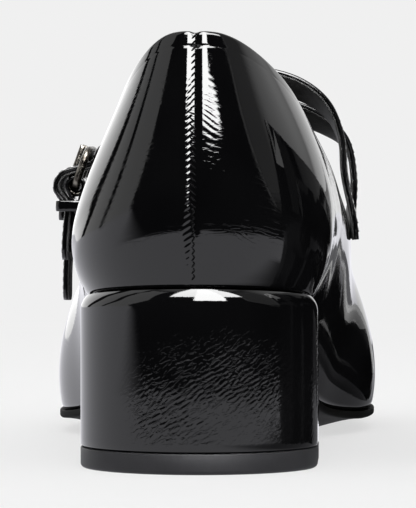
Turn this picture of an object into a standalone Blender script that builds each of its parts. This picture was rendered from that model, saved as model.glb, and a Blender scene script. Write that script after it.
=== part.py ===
"""Left shoe of a double-strap Mary Jane pump on a covered block heel.

Run with:  blender --background --python part.py

The shoe stands on the floor, z = 0. +Y runs to the toe, +X to the medial side and +Z up, and the origin is
the middle of the heel's top piece where it meets the floor. Sizes are in millimetres here, and every mesh is
made in metres. Each named object is one sub-part.

The last is a set of ribs. A rib is one curve up the side of the shoe, from the feather line, where the upper
meets the sole, to the topline. The table RIBS gives the ribs from the back seam round the toe to the back seam
again as shares of the shoe's length, ball width and instep, and a smooth closed curve joins them.
"""

import math
from typing import NamedTuple

import bmesh
import bpy
import numpy as np
from mathutils import Matrix, Vector

MM = 0.001
GAP = 0.3

# Driving sizes of the shoe.
LENGTH = 250.0
BALL_WIDTH = 87.0
INSTEP = 52.0
HEEL_HEIGHT = 44.0
BACK_Y = -24.5

# Walls and layers.
WALL = 1.8
LASTING_MARGIN = 7.0
FEATHER_RADIUS = 2.4
SOLE_THICKNESS = 2.0
SEAT_THICKNESS = 1.0
SOLE_PROUD = 0.7
SEAT_INSET = 1.6
TREAD_ROUND = 3.8
FLAT_SHARE = 0.5
SEAT_TO_SHANK = (26.0, 46.0)
SEAT_EDGE = (28.0, 44.0)
TREAD_RISE = (92.0, 122.0)
TREAD_FALL = (172.0, 222.0)
FEATHER_SHARE = 0.055
INSOLE_THICKNESS = 2.0
INSOLE_INSET = 3.0

# The heel block and its top piece.
HEEL_WIDTH = 57.5
HEEL_BACK_Y = -24.0
HEEL_BREAST_Y = 24.0
HEEL_ROUND_DEPTH = 28.0
HEEL_SHOULDER = 3.5
HEEL_BREAST_CORNER = 2.5
TOP_PIECE_THICKNESS = 5.0
TOP_PIECE_ROUND = 1.2

# Instep straps, their buckles and their loops.
STRAP_WIDTH = 10.0
STRAP_THICKNESS = 1.8
STRAP_CLEARANCE = 0.1
BEND_CLEARANCE = 0.6
FOLD_CLEARANCE = 0.5
MEDIAL_END_Z = 53.0
FRONT_STRAP_AHEAD = 12.6
FRONT_STRAP_DROP = 6.8
FRONT_STRAP_OUT = 2.4
TAB_WIDTH = 8.4
TAB_THICKNESS = 0.9
TAB_FOLD_RADIUS = 2.3
TAB_END_Z = 50.0
BAR_RADIUS = 1.0
BUCKLE_LENGTH = 9.8
BUCKLE_WIDTH = 14.3
BUCKLE_CORNER = 3.4
BUCKLE_LEAN = 20.0
BUCKLE_STANDS_OFF = 1.5
HEEL_BAR_Z = 67.2
PRONG_RADIUS = 0.75
PRONG_LOOP_RADIUS = 2.0
PRONG_HOLE = 3.0
KEEPER_OVER_EDGE = 0.4
KEEPER_WIDTH = 2.8
KEEPER_SLACK = 0.9
KEEPER_THICKNESS = 0.9

# Mesh counts.
AROUND = 92
UP_THE_WALL = 13
ACROSS_THE_SOLE = 6
HEEL_SEGMENTS = 26
STRAP_STEPS = 44
TAB_STEPS = 30


class Level(NamedTuple):
    """A point of the sole's underside along the shoe, with its slope there."""

    y: float
    z: float
    slope: float


SOLE_LINE = (
    Level(y=-30.0, z=HEEL_HEIGHT, slope=-0.10),
    Level(y=26.0, z=HEEL_HEIGHT - 5.6, slope=-0.10),
    Level(y=62.0, z=25.5, slope=-0.46),
    Level(y=98.0, z=6.6, slope=-0.38),
    Level(y=124.0, z=0.0, slope=0.0),
    Level(y=156.0, z=0.0, slope=0.0),
    Level(y=227.0, z=8.4, slope=0.19),
)


class Rib(NamedTuple):
    """One section up the side of the shoe.

    foot_along, foot_out: feather point, as a share of LENGTH from the back and of half of BALL_WIDTH, + medial
    top_along, top_out, top_rise: topline point in the same shares, and its height in shares of INSTEP
    low_out, low_up: lower handle of the curve in mm, out from the feather line and up
    top_run: upper handle's share of the way out to the feather point
    high_out, high_down: upper handle in mm, out and down from the topline
    """

    name: str
    foot_along: float
    foot_out: float
    top_along: float
    top_out: float
    top_rise: float
    low_out: float
    low_up: float
    top_run: float
    high_out: float
    high_down: float


RIBS = (
    Rib("back seam", 0.012, 0.000, 0.022, 0.000, 2.022, 5.0, 14.0, 0.00, 5.5, 20.0),
    Rib("back medial", 0.019, 0.215, 0.027, 0.130, 2.016, 5.2, 14.0, 0.00, 5.8, 20.0),
    Rib("heel medial", 0.044, 0.440, 0.044, 0.290, 1.955, 6.0, 14.0, 0.00, 7.0, 20.0),
    Rib("seat medial", 0.084, 0.584, 0.086, 0.440, 1.840, 7.2, 14.0, 0.00, 8.2, 18.0),
    Rib("quarter medial", 0.178, 0.621, 0.178, 0.610, 1.600, 8.6, 14.0, 0.00, 7.2, 16.0),
    Rib("arch medial", 0.258, 0.570, 0.258, 0.710, 1.425, 9.0, 14.0, 0.00, 5.0, 14.0),
    Rib("waist medial", 0.338, 0.545, 0.338, 0.765, 1.280, 8.6, 15.0, 0.00, 3.6, 14.0),
    Rib("strap medial", 0.426, 0.570, 0.426, 0.805, 1.168, 8.6, 16.0, 0.00, 3.0, 15.0),
    Rib("joint medial", 0.514, 0.705, 0.510, 0.805, 1.100, 7.0, 17.0, 0.10, 3.0, 14.0),
    Rib("throat medial", 0.592, 0.890, 0.584, 0.705, 1.054, 5.4, 18.0, 0.25, 5.5, 11.0),
    Rib("ball medial", 0.668, 0.955, 0.640, 0.535, 1.026, 4.2, 18.0, 0.38, 6.5, 8.0),
    Rib("toes medial", 0.762, 0.910, 0.674, 0.350, 1.010, 4.2, 18.0, 0.48, 5.0, 7.0),
    Rib("toe side medial", 0.856, 0.775, 0.690, 0.190, 1.002, 4.2, 17.0, 0.55, 3.0, 7.5),
    Rib("toe round medial", 0.942, 0.525, 0.696, 0.085, 1.000, 4.2, 16.5, 0.60, 1.0, 8.0),
    Rib("toe tip", 0.996, 0.050, 0.698, 0.000, 1.000, 4.2, 16.0, 0.62, 0.0, 8.0),
    Rib("toe round lateral", 0.948, -0.470, 0.696, -0.085, 1.000, 4.2, 16.5, 0.60, 1.0, 8.0),
    Rib("toe side lateral", 0.862, -0.755, 0.690, -0.190, 1.002, 4.2, 17.0, 0.55, 3.0, 7.5),
    Rib("toes lateral", 0.766, -0.915, 0.674, -0.350, 1.008, 4.2, 18.0, 0.48, 5.0, 7.0),
    Rib("ball lateral", 0.664, -0.985, 0.638, -0.540, 1.020, 4.0, 18.0, 0.38, 6.5, 8.0),
    Rib("throat lateral", 0.584, -0.955, 0.580, -0.690, 1.042, 3.6, 17.0, 0.25, 5.5, 11.0),
    Rib("joint lateral", 0.510, -0.800, 0.508, -0.770, 1.075, 3.6, 16.0, 0.10, 2.6, 14.0),
    Rib("strap lateral", 0.430, -0.680, 0.430, -0.780, 1.122, 4.0, 15.0, 0.00, 1.6, 15.0),
    Rib("waist lateral", 0.346, -0.660, 0.346, -0.730, 1.210, 4.8, 14.0, 0.00, 2.4, 14.0),
    Rib("arch lateral", 0.262, -0.630, 0.262, -0.640, 1.350, 7.0, 14.0, 0.00, 3.6, 14.0),
    Rib("quarter lateral", 0.178, -0.625, 0.178, -0.520, 1.540, 9.6, 14.0, 0.00, 5.8, 16.0),
    Rib("seat lateral", 0.084, -0.580, 0.086, -0.380, 1.810, 8.0, 14.0, 0.00, 7.0, 18.0),
    Rib("heel lateral", 0.044, -0.440, 0.044, -0.262, 1.944, 5.6, 14.0, 0.00, 6.6, 20.0),
    Rib("back lateral", 0.019, -0.215, 0.027, -0.126, 2.016, 5.1, 14.0, 0.00, 5.8, 20.0),
)


class Fold(NamedTuple):
    """A point of the rear strap's middle line in mm, over the instep.

    tilt is how far the front edge lies below the rear edge, in degrees, and ahead, drop and out are the shares
    of FRONT_STRAP_AHEAD, FRONT_STRAP_DROP and FRONT_STRAP_OUT that place the front strap's point.
    """

    x: float
    y: float
    z: float
    tilt: float
    ahead: float
    drop: float
    out: float


INSTEP_FOLDS = (
    Fold(x=34.4, y=93.0, z=70.0, tilt=0.0, ahead=1.0, drop=0.1, out=1.0),
    Fold(x=33.4, y=92.5, z=80.0, tilt=10.0, ahead=1.0, drop=0.4, out=0.7),
    Fold(x=29.4, y=91.5, z=87.6, tilt=22.0, ahead=0.95, drop=0.8, out=0.4),
    Fold(x=21.4, y=90.0, z=93.0, tilt=29.0, ahead=0.9, drop=1.0, out=0.2),
    Fold(x=8.0, y=88.0, z=95.4, tilt=31.0, ahead=0.88, drop=1.0, out=0.0),
    Fold(x=-7.0, y=85.5, z=92.6, tilt=29.0, ahead=0.9, drop=1.0, out=0.0),
    Fold(x=-19.0, y=82.5, z=86.2, tilt=18.0, ahead=1.0, drop=0.5, out=0.0),
)


class Fastening(NamedTuple):
    """One strap: where its ends lie along the shoe in mm, and how low its free end hangs."""

    name: str
    medial_y: float
    buckle_y: float
    tail_z: float
    front: bool


FASTENINGS = (
    Fastening(name="rear", medial_y=93.0, buckle_y=79.0, tail_z=48.0, front=False),
    Fastening(name="front", medial_y=105.6, buckle_y=93.6, tail_z=37.0, front=True),
)


def sole_under(y):
    """Height of the sole's underside at y, by cubic pieces through SOLE_LINE."""
    y = np.asarray(y, float)
    knots = np.array([level.y for level in SOLE_LINE])
    i = np.clip(np.searchsorted(knots, y) - 1, 0, len(knots) - 2)
    rows = np.array(SOLE_LINE)
    here, there = rows[i], rows[i + 1]
    span = there[..., 0] - here[..., 0]
    t = (y - here[..., 0]) / span
    return (
        here[..., 1] * (2 * t**3 - 3 * t**2 + 1)
        + here[..., 2] * span * (t**3 - 2 * t**2 + t)
        + there[..., 1] * (3 * t**2 - 2 * t**3)
        + there[..., 2] * span * (t**3 - t**2)
    )


def smoothstep(low, high, value):
    """Share from 0 at low to 1 at high, with no corner at either end."""
    t = np.clip((value - low) / (high - low), 0.0, 1.0)
    return t * t * (3.0 - 2.0 * t)


def sole_thickness(y):
    """The sole is full in front of the heel breast and pared thin over the heel seat."""
    return SEAT_THICKNESS + (SOLE_THICKNESS - SEAT_THICKNESS) * smoothstep(*SEAT_TO_SHANK, y)


def tread_lift(y):
    """How far the sole's edge stands over its middle: the forepart is rounded across, and the toe less so."""
    return TREAD_ROUND * smoothstep(*TREAD_RISE, y) * (1.0 - smoothstep(*TREAD_FALL, y))


def feather_height(y):
    return sole_under(y) + tread_lift(y) + sole_thickness(y) + GAP


def closed_spline(knots, period, values, at):
    """Cubic spline through values at knots, closed over the period, and its slope."""
    count = len(knots)
    step = np.diff(np.append(knots, knots[0] + period))
    system = np.zeros((count, count))
    right = np.zeros((count, values.shape[1]))
    for i in range(count):
        before, after = step[i - 1], step[i]
        system[i, i - 1] += before
        system[i, i] += 2.0 * (before + after)
        system[i, (i + 1) % count] += after
        right[i] = 6.0 * (
            (values[(i + 1) % count] - values[i]) / after - (values[i] - values[i - 1]) / before
        )
    bend = np.linalg.solve(system, right)
    at = np.mod(at, period)
    i = np.searchsorted(knots, at, side="right") - 1
    j = (i + 1) % count
    h = step[i][:, None]
    a = (knots[i] + step[i] - at)[:, None] / h
    b = 1.0 - a
    value = a * values[i] + b * values[j] + ((a**3 - a) * bend[i] + (b**3 - b) * bend[j]) * h**2 / 6.0
    slope = (values[j] - values[i]) / h + (
        (1.0 - 3.0 * a**2) * bend[i] + (3.0 * b**2 - 1.0) * bend[j]
    ) * h / 6.0
    return value, slope


class Last:
    """The shoe's form at evenly spaced places round the feather line, half of them on each side."""

    def __init__(self, count):
        rows = np.array([rib[1:] for rib in RIBS])
        rows[:, [0, 2]] = BACK_Y + LENGTH * rows[:, [0, 2]]
        rows[:, [1, 3]] *= BALL_WIDTH / 2.0
        foot = rows[:, [1, 0]]
        chords = np.linalg.norm(np.roll(foot, -1, axis=0) - foot, axis=1)
        toe = [rib.name for rib in RIBS].index("toe tip")
        chords[:toe] /= 2.0 * chords[:toe].sum()
        chords[toe:] /= 2.0 * chords[toe:].sum()
        knots = np.concatenate([[0.0], np.cumsum(chords)[:-1]])
        row, slope = closed_spline(knots, 1.0, rows, np.arange(count) / count)
        self.foot = row[:, [1, 0]]
        run = slope[:, [1, 0]]
        run /= np.linalg.norm(run, axis=1)[:, None]
        self.out = np.stack([run[:, 1], -run[:, 0]], axis=1)
        self.foot_z = feather_height(self.foot[:, 1])
        self.top = row[:, [3, 2]]
        self.top_z = INSTEP * row[:, 4]
        self.low_out, self.low_up, self.top_run, self.high_out, self.high_down = row[:, 5:].T

    def outline(self, inset):
        """The feather line in plan, moved inward by inset."""
        return self.foot - self.out * np.asarray(inset).reshape(-1, 1)

    def wall(self, share):
        """Ring of points on the outer wall, from share 0 at the feather line to 1 at the topline."""
        low = np.column_stack([self.foot + self.out * self.low_out[:, None], self.foot_z + self.low_up])
        reach = (self.foot - self.top) * self.top_run[:, None] + self.out * self.high_out[:, None]
        high = np.column_stack([self.top + reach, self.top_z - self.high_down])
        foot = np.column_stack([self.foot, self.foot_z])
        top = np.column_stack([self.top, self.top_z])
        t = share
        return (
            (1 - t) ** 3 * foot + 3 * (1 - t) ** 2 * t * low + 3 * (1 - t) * t**2 * high + t**3 * top
        )

    def side(self, y, z, medial):
        """Outward distance of the outer wall from the middle plane at y and z. Above the topline it is the
        topline's."""
        rings = np.array([self.wall(share) for share in np.linspace(0.0, 1.0, 41)])
        sign = 1.0 if medial else -1.0
        chosen = rings[:, (rings[0, :, 0] * sign > 15.0) & (np.abs(self.out[:, 0]) > 0.4)]
        ribs = []
        for i in range(chosen.shape[1]):
            rib = chosen[:, i]
            ribs.append((np.interp(z, rib[:, 2], rib[:, 1]), np.interp(z, rib[:, 2], rib[:, 0] * sign)))
        ribs = np.array(sorted(ribs))
        return sign * float(np.interp(y, ribs[:, 0], ribs[:, 1]))

    def edge_height(self, y, medial):
        """Height of the topline on one side at y."""
        chosen = (self.top[:, 0] > 0.0) == medial
        order = np.argsort(self.top[chosen, 1])
        return float(np.interp(y, self.top[chosen, 1][order], self.top_z[chosen][order]))

    def margin(self, inset, lift=0.0):
        """Ring of the lasting margin under the foot."""
        line = self.outline(inset)
        return np.column_stack([line, feather_height(line[:, 1]) + lift])


def material(name, colour, roughness, metallic=0.0, coat=0.0):
    made = bpy.data.materials.new(name)
    made.use_nodes = True
    made.diffuse_color = (*colour, 1.0)
    shader = made.node_tree.nodes["Principled BSDF"]
    shader.inputs["Base Color"].default_value = (*colour, 1.0)
    shader.inputs["Roughness"].default_value = roughness
    shader.inputs["Metallic"].default_value = metallic
    shader.inputs["Coat Weight"].default_value = coat
    return made


def clear_scene():
    for thing in list(bpy.data.objects):
        bpy.data.objects.remove(thing, do_unlink=True)
    bpy.context.scene.unit_settings.system = "METRIC"


def collection(name, hidden=False):
    made = bpy.data.collections.new(name)
    made.hide_render = hidden
    bpy.context.scene.collection.children.link(made)
    return made


def place(name, form, finish, group, sharp_deg=35.0):
    """Turns a bmesh in mm into a named object in metres."""
    bmesh.ops.scale(form, vec=(MM, MM, MM), verts=form.verts)
    bmesh.ops.recalc_face_normals(form, faces=form.faces)
    mesh = bpy.data.meshes.new(name)
    form.to_mesh(mesh)
    form.free()
    mesh.materials.append(finish)
    mesh.shade_smooth()
    mesh.set_sharp_from_angle(angle=math.radians(sharp_deg))
    thing = bpy.data.objects.new(name, mesh)
    group.objects.link(thing)
    return thing


def loft(form, rings, closed=True):
    """Skins consecutive rings of equal count. Returns the rows of vertices."""
    rows = [[form.verts.new(point) for point in ring] for ring in rings]
    count = len(rows[0])
    for low, high in zip(rows, rows[1:]):
        for i in range(count if closed else count - 1):
            j = (i + 1) % count
            form.faces.new((low[i], low[j], high[j], high[i]))
    return rows


def solid_loft(rings):
    """A closed solid through rings, with a flat face on each end."""
    form = bmesh.new()
    rows = loft(form, rings)
    form.faces.new(rows[0][::-1])
    form.faces.new(rows[-1])
    return form


def make_upper(last, finish, group):
    """One wall from the lasting margin round the feather edge and up to the topline, open at both ends."""
    form = bmesh.new()
    rings = [last.margin(inset) for inset in (LASTING_MARGIN, FEATHER_RADIUS)]
    rings.append(last.margin(FEATHER_RADIUS * 0.35, lift=FEATHER_RADIUS * 0.22))
    rings += [last.wall(share) for share in np.linspace(FEATHER_SHARE, 1.0, UP_THE_WALL)]
    loft(form, rings)
    upper = place("upper", form, finish, group)
    shell = upper.modifiers.new("wall", "SOLIDIFY")
    shell.thickness = WALL * MM
    shell.offset = -1.0
    shell.use_even_offset = True
    return upper


def make_plate(name, line, under, thickness, finish, group):
    """A plate along the foot: line is its outline in plan, under(y, side) the height of its underside.

    Points of the outline that face each other across the shoe are joined by straight rows, where side runs
    from 0 in the middle to 1 at the edge.
    """
    form = bmesh.new()
    half = len(line) // 2
    shares = np.linspace(0.0, 1.0, ACROSS_THE_SOLE + 1)

    def vertex(x, y, side, over):
        z = float(under(y, side)) + (float(thickness(y)) if over else 0.0)
        return form.verts.new((x, y, z))

    rims = []
    for over in (False, True):
        rows = []
        for i in range(1, half):
            row = []
            for s in shares:
                x, y = line[i] * (1 - s) + line[-i] * s
                row.append(vertex(x, y, abs(2.0 * s - 1.0), over))
            rows.append(row)
        back, toe = (vertex(*line[i], 1.0, over) for i in (0, half))
        for low, high in zip(rows, rows[1:]):
            for i in range(ACROSS_THE_SOLE):
                form.faces.new((low[i], low[i + 1], high[i + 1], high[i]))
        for i in range(ACROSS_THE_SOLE):
            form.faces.new((back, rows[0][i + 1], rows[0][i]))
            form.faces.new((toe, rows[-1][i], rows[-1][i + 1]))
        rims.append([back] + [row[0] for row in rows] + [toe] + [row[-1] for row in rows[::-1]])
    low, high = rims
    for i in range(len(low)):
        j = (i + 1) % len(low)
        form.faces.new((low[i], low[j], high[j], high[i]))
    return place(name, form, finish, group)


def rolled(y, side):
    """Height of the sole's underside: flat in the middle third and rounded up to the edge."""
    return sole_under(y) + tread_lift(y) * smoothstep(FLAT_SHARE, 1.0, side)


def make_outsole(last, finish, group):
    """The sole: proud of the feather line in front of the heel and inside it over the seat."""
    inset = -SOLE_PROUD + (SEAT_INSET + SOLE_PROUD) * (1.0 - smoothstep(*SEAT_EDGE, last.foot[:, 1]))
    return make_plate("outsole", last.outline(inset), rolled, sole_thickness, finish, group)


def make_insole(last, finish, group):
    """The footbed lies level across the shoe, on the turned-in lasting margin."""

    def under(y, side):
        return feather_height(y) + WALL + GAP

    def thickness(y):
        return INSOLE_THICKNESS

    return make_plate("insole", last.outline(INSOLE_INSET), under, thickness, finish, group)


def heel_outline(inset):
    """The heel in plan: a half ellipse at the back, straight sides and a flat breast with rounded corners."""
    half = HEEL_WIDTH / 2.0 - inset
    deep = HEEL_ROUND_DEPTH - inset
    middle = HEEL_BACK_Y + HEEL_ROUND_DEPTH
    angles = np.linspace(-0.5 * math.pi, 0.5 * math.pi, HEEL_SEGMENTS + 1)
    back = [(half * math.sin(a), middle - deep * math.cos(a)) for a in angles]
    corner = HEEL_BREAST_CORNER
    front = HEEL_BREAST_Y - inset
    turn = np.linspace(0.0, 0.5 * math.pi, 5)
    medial = [(half - corner + corner * math.cos(a), front - corner + corner * math.sin(a)) for a in turn]
    lateral = [(-x, y) for x, y in medial[::-1]]
    return np.array(back + medial + lateral)


def make_heel(finish, group):
    """The block rises to just under the sole and ends in a rounded shoulder."""
    low = TOP_PIECE_THICKNESS + GAP
    rings = []
    for share in (0.0, 0.5, 1.0):
        line = heel_outline(0.0)
        top = sole_under(line[:, 1]) - GAP - HEEL_SHOULDER
        rings.append(np.column_stack([line, low + (top - low) * share]))
    for a in np.radians([22.5, 45.0, 67.5, 90.0]):
        line = heel_outline(HEEL_SHOULDER * (1.0 - math.cos(a)))
        top = sole_under(line[:, 1]) - GAP - HEEL_SHOULDER * (1.0 - math.sin(a))
        rings.append(np.column_stack([line, top]))
    return place("heel", solid_loft(rings), finish, group)


def make_top_piece(finish, group):
    rings = []
    for a in np.radians([0.0, 45.0, 90.0]):
        line = heel_outline(TOP_PIECE_ROUND * (1.0 - math.sin(a)))
        rings.append(np.column_stack([line, np.full(len(line), TOP_PIECE_ROUND * (1.0 - math.cos(a)))]))
    line = heel_outline(0.0)
    rings.append(np.column_stack([line, np.full(len(line), TOP_PIECE_THICKNESS)]))
    return place("top_piece", solid_loft(rings), finish, group)


def smooth_path(rows, count):
    """Points spaced evenly along a smooth curve through rows. Extra columns are carried along."""
    rows = np.asarray(rows, float)
    chord = np.sqrt(np.linalg.norm(np.diff(rows[:, :3], axis=0), axis=1))
    knots = np.concatenate([[0.0], np.cumsum(chord)])
    slope = np.gradient(rows, knots, axis=0)
    fine = np.linspace(0.0, knots[-1], 20 * len(rows))
    i = np.clip(np.searchsorted(knots, fine, side="right") - 1, 0, len(knots) - 2)
    span = (knots[i + 1] - knots[i])[:, None]
    t = ((fine - knots[i])[:, None]) / span
    curve = (
        rows[i] * (2 * t**3 - 3 * t**2 + 1)
        + slope[i] * span * (t**3 - 2 * t**2 + t)
        + rows[i + 1] * (3 * t**2 - 2 * t**3)
        + slope[i + 1] * span * (t**3 - t**2)
    )
    run = np.concatenate([[0.0], np.cumsum(np.linalg.norm(np.diff(curve[:, :3], axis=0), axis=1))])
    even = np.linspace(0.0, run[-1], count)
    return np.column_stack([np.interp(even, run, column) for column in curve.T])


def band(name, path, width, thickness, finish, group, tilt=0.0, yaw=0.0):
    """A flat band along path. tilt turns its width down at the front edge and yaw turns it in plan, deg."""
    path = np.asarray(path)[:, :3]
    along = np.gradient(path, axis=0)
    along /= np.linalg.norm(along, axis=1)[:, None]
    tilt = np.radians(np.broadcast_to(tilt, len(path)))
    yaw = np.radians(np.broadcast_to(yaw, len(path)))
    across = np.column_stack([np.sin(yaw) * np.cos(tilt), np.cos(yaw) * np.cos(tilt), -np.sin(tilt)])
    across -= along * np.sum(across * along, axis=1)[:, None]
    across /= np.linalg.norm(across, axis=1)[:, None]
    form = bmesh.new()
    loft(form, [path - across * width / 2.0, path + across * width / 2.0], closed=False)
    thing = place(name, form, finish, group)
    skin = thing.modifiers.new("thickness", "SOLIDIFY")
    skin.thickness = thickness * MM
    skin.offset = 0.0
    return thing


def tube(name, points, radius, finish, group, cyclic=False):
    """A round wire through points, in mm."""
    line = bpy.data.curves.new(name, "CURVE")
    line.dimensions = "3D"
    line.bevel_depth = radius * MM
    line.bevel_resolution = 2
    line.use_fill_caps = not cyclic
    run = line.splines.new("POLY")
    run.points.add(len(points) - 1)
    for knot, point in zip(run.points, points):
        knot.co = (*(np.asarray(point) * MM), 1.0)
    run.use_cyclic_u = cyclic
    line.materials.append(finish)
    thing = bpy.data.objects.new(name, line)
    group.objects.link(thing)
    return thing


class BucklePlace:
    """Local axes of one buckle: bar along the shoe, up to the far bar and out from the quarter."""

    def __init__(self, last, fastening):
        self.y = fastening.buckle_y
        lean = math.radians(BUCKLE_LEAN)
        edge = last.side(self.y, HEEL_BAR_Z, medial=False)
        self.origin = np.array([edge - BUCKLE_STANDS_OFF, self.y, HEEL_BAR_Z])
        self.up = np.array([math.sin(lean), 0.0, math.cos(lean)])
        self.out = np.array([-math.cos(lean), 0.0, math.sin(lean)])
        self.bar = np.array([0.0, 1.0, 0.0])

    def point(self, up, out, bar=0.0):
        return self.origin + self.up * up + self.out * out + self.bar * bar


def quarter_point(last, y, z, stand_off, medial=False):
    """A point outside the upper's wall, or over its topline, by stand_off."""
    edge = last.side(y, z, medial)
    return np.array([edge + math.copysign(stand_off, edge), y, z])


def tab_middle():
    """Stand-off of the tab's middle from the quarter, where its two layers lie together."""
    return GAP + TAB_THICKNESS + GAP / 2.0


def tail_middle():
    return tab_middle() + TAB_THICKNESS + GAP / 2.0 + GAP + STRAP_THICKNESS / 2.0


def strap_rows(last, fastening, buckle):
    """Rows of x, y, z and tilt, from the medial end over the instep, through the buckle and down."""
    flat = GAP + STRAP_THICKNESS / 2.0 + STRAP_CLEARANCE
    y = fastening.medial_y
    rows = []
    for z in (MEDIAL_END_Z, MEDIAL_END_Z + 5.0):
        turn = last.side(y + 4.0, z, medial=True) - last.side(y - 4.0, z, medial=True)
        yaw = math.degrees(math.atan2(turn, 8.0))
        rows.append((*quarter_point(last, y, z, flat, medial=True), 0.0, yaw))
    for fold in INSTEP_FOLDS:
        ahead = FRONT_STRAP_AHEAD * fold.ahead * fastening.front
        drop = FRONT_STRAP_DROP * fold.drop * fastening.front
        out = FRONT_STRAP_OUT * fold.out * fastening.front
        rows.append((fold.x + out, fold.y + ahead, fold.z - drop, fold.tilt, 0.0))
    under_bar = BAR_RADIUS + GAP + STRAP_THICKNESS / 2.0 + BEND_CLEARANCE
    over_fold = TAB_FOLD_RADIUS + TAB_THICKNESS / 2.0 + GAP + STRAP_THICKNESS / 2.0 + FOLD_CLEARANCE
    tail = tail_middle()
    near_bars = (
        (BUCKLE_LENGTH + 3.4, -under_bar - 0.9),
        (BUCKLE_LENGTH + 0.4, -under_bar),
        (BUCKLE_LENGTH - 2.3, -under_bar + 0.2),
        (1.4, over_fold - 0.1),
        (-2.2, over_fold),
    )
    rows += [(*buckle.point(up, out), 0.0, 0.0) for up, out in near_bars]
    for z in np.linspace(keeper_height(last, fastening), fastening.tail_z, 4):
        rows.append((*quarter_point(last, fastening.buckle_y, z, tail), 0.0, 0.0))
    return rows


def make_strap(last, fastening, buckle, finish, group, cutters):
    """An instep strap, from its medial end over the instep, through the buckle and down the lateral quarter."""
    path = smooth_path(strap_rows(last, fastening, buckle), STRAP_STEPS)
    strap = band(
        "strap_" + fastening.name,
        path,
        STRAP_WIDTH,
        STRAP_THICKNESS,
        finish,
        group,
        tilt=path[:, 3],
        yaw=path[:, 4],
    )
    prong = PRONG_LOOP_RADIUS
    ends = (buckle.point(1.2, prong), buckle.point(BUCKLE_LENGTH - 1.6, prong))
    cut_slot(strap, ends, PRONG_HOLE, PRONG_HOLE, cutters)
    return strap


def cut_slot(thing, ends, width, depth, cutters):
    """Cuts a box through thing between two points, width along the buckle's bar and depth across it."""
    low, high = ends
    form = bmesh.new()
    bmesh.ops.create_cube(form, size=1.0)
    along = high - low
    length = float(np.linalg.norm(along))
    axis = along / length
    side = np.array([0.0, 1.0, 0.0])
    turn = Matrix(np.column_stack([axis, side, np.cross(axis, side)]).tolist()).to_4x4()
    scale = Matrix.Diagonal((length, width, depth, 1.0))
    shift = Matrix.Translation(Vector((low + high) / 2.0))
    bmesh.ops.transform(form, matrix=shift @ turn @ scale, verts=form.verts)
    cutter = place(thing.name + "_slot", form, thing.data.materials[0], cutters)
    cutter.hide_render = True
    cutter.display_type = "WIRE"
    cut = thing.modifiers.new("slot", "BOOLEAN")
    cut.operation = "DIFFERENCE"
    cut.object = cutter


def make_tab(last, fastening, buckle, finish, group, cutters):
    """The folded tab: up its outer layer, round the heel bar and down its inner layer."""
    half = (TAB_THICKNESS + GAP) / 2.0
    middle = tab_middle()
    heights = np.linspace(TAB_END_Z, keeper_height(last, fastening), 3)
    outer = [quarter_point(last, buckle.y, z, middle + half) for z in heights]
    inner = [quarter_point(last, buckle.y, z, middle - half) for z in heights]
    fold = [
        buckle.point(TAB_FOLD_RADIUS * math.sin(a), TAB_FOLD_RADIUS * math.cos(a))
        for a in np.radians(np.linspace(-25.0, 205.0, 9))
    ]
    path = smooth_path(outer + fold + inner[::-1], TAB_STEPS)
    tab = band("tab_" + fastening.name, path, TAB_WIDTH, TAB_THICKNESS, finish, group)
    reach = PRONG_LOOP_RADIUS + 1.2
    ends = (buckle.point(-reach, 0.0), buckle.point(reach, 0.0))
    cut_slot(tab, ends, PRONG_HOLE, 2.0 * reach, cutters)
    return tab


def make_buckle(fastening, buckle, finish, group):
    """A rounded square frame of round bar."""
    half_wide, half_long = BUCKLE_WIDTH / 2.0 - BAR_RADIUS, BUCKLE_LENGTH / 2.0
    corner = BUCKLE_CORNER
    points = []
    for quarter in range(4):
        for a in np.radians(np.linspace(0.0, 90.0, 4)) + quarter * math.pi / 2.0:
            across = (half_wide - corner) * (1 if quarter in (0, 3) else -1) + corner * math.cos(a)
            upward = (half_long - corner) * (1 if quarter in (0, 1) else -1) + corner * math.sin(a)
            points.append(buckle.point(half_long + upward, 0.0, across))
    return tube("buckle_" + fastening.name, points, BAR_RADIUS, finish, group, cyclic=True)


def make_prong(fastening, buckle, finish, group):
    """A pin that loops round the heel bar and rests on the far bar."""
    points = [
        buckle.point(PRONG_LOOP_RADIUS * math.sin(a), PRONG_LOOP_RADIUS * math.cos(a))
        for a in np.radians(np.linspace(60.0, 350.0, 14))
    ]
    points += [buckle.point(up, PRONG_LOOP_RADIUS) for up in (1.0, BUCKLE_LENGTH / 2.0, BUCKLE_LENGTH + 0.7)]
    return tube("prong_" + fastening.name, points, PRONG_RADIUS, finish, group)


def keeper_height(last, fastening):
    """Middle height of the keeper, which clears the topline over the strap's whole width."""
    y = fastening.buckle_y - STRAP_WIDTH / 2.0 - KEEPER_THICKNESS - GAP
    return last.edge_height(y, medial=False) + KEEPER_OVER_EDGE + KEEPER_WIDTH / 2.0


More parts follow.
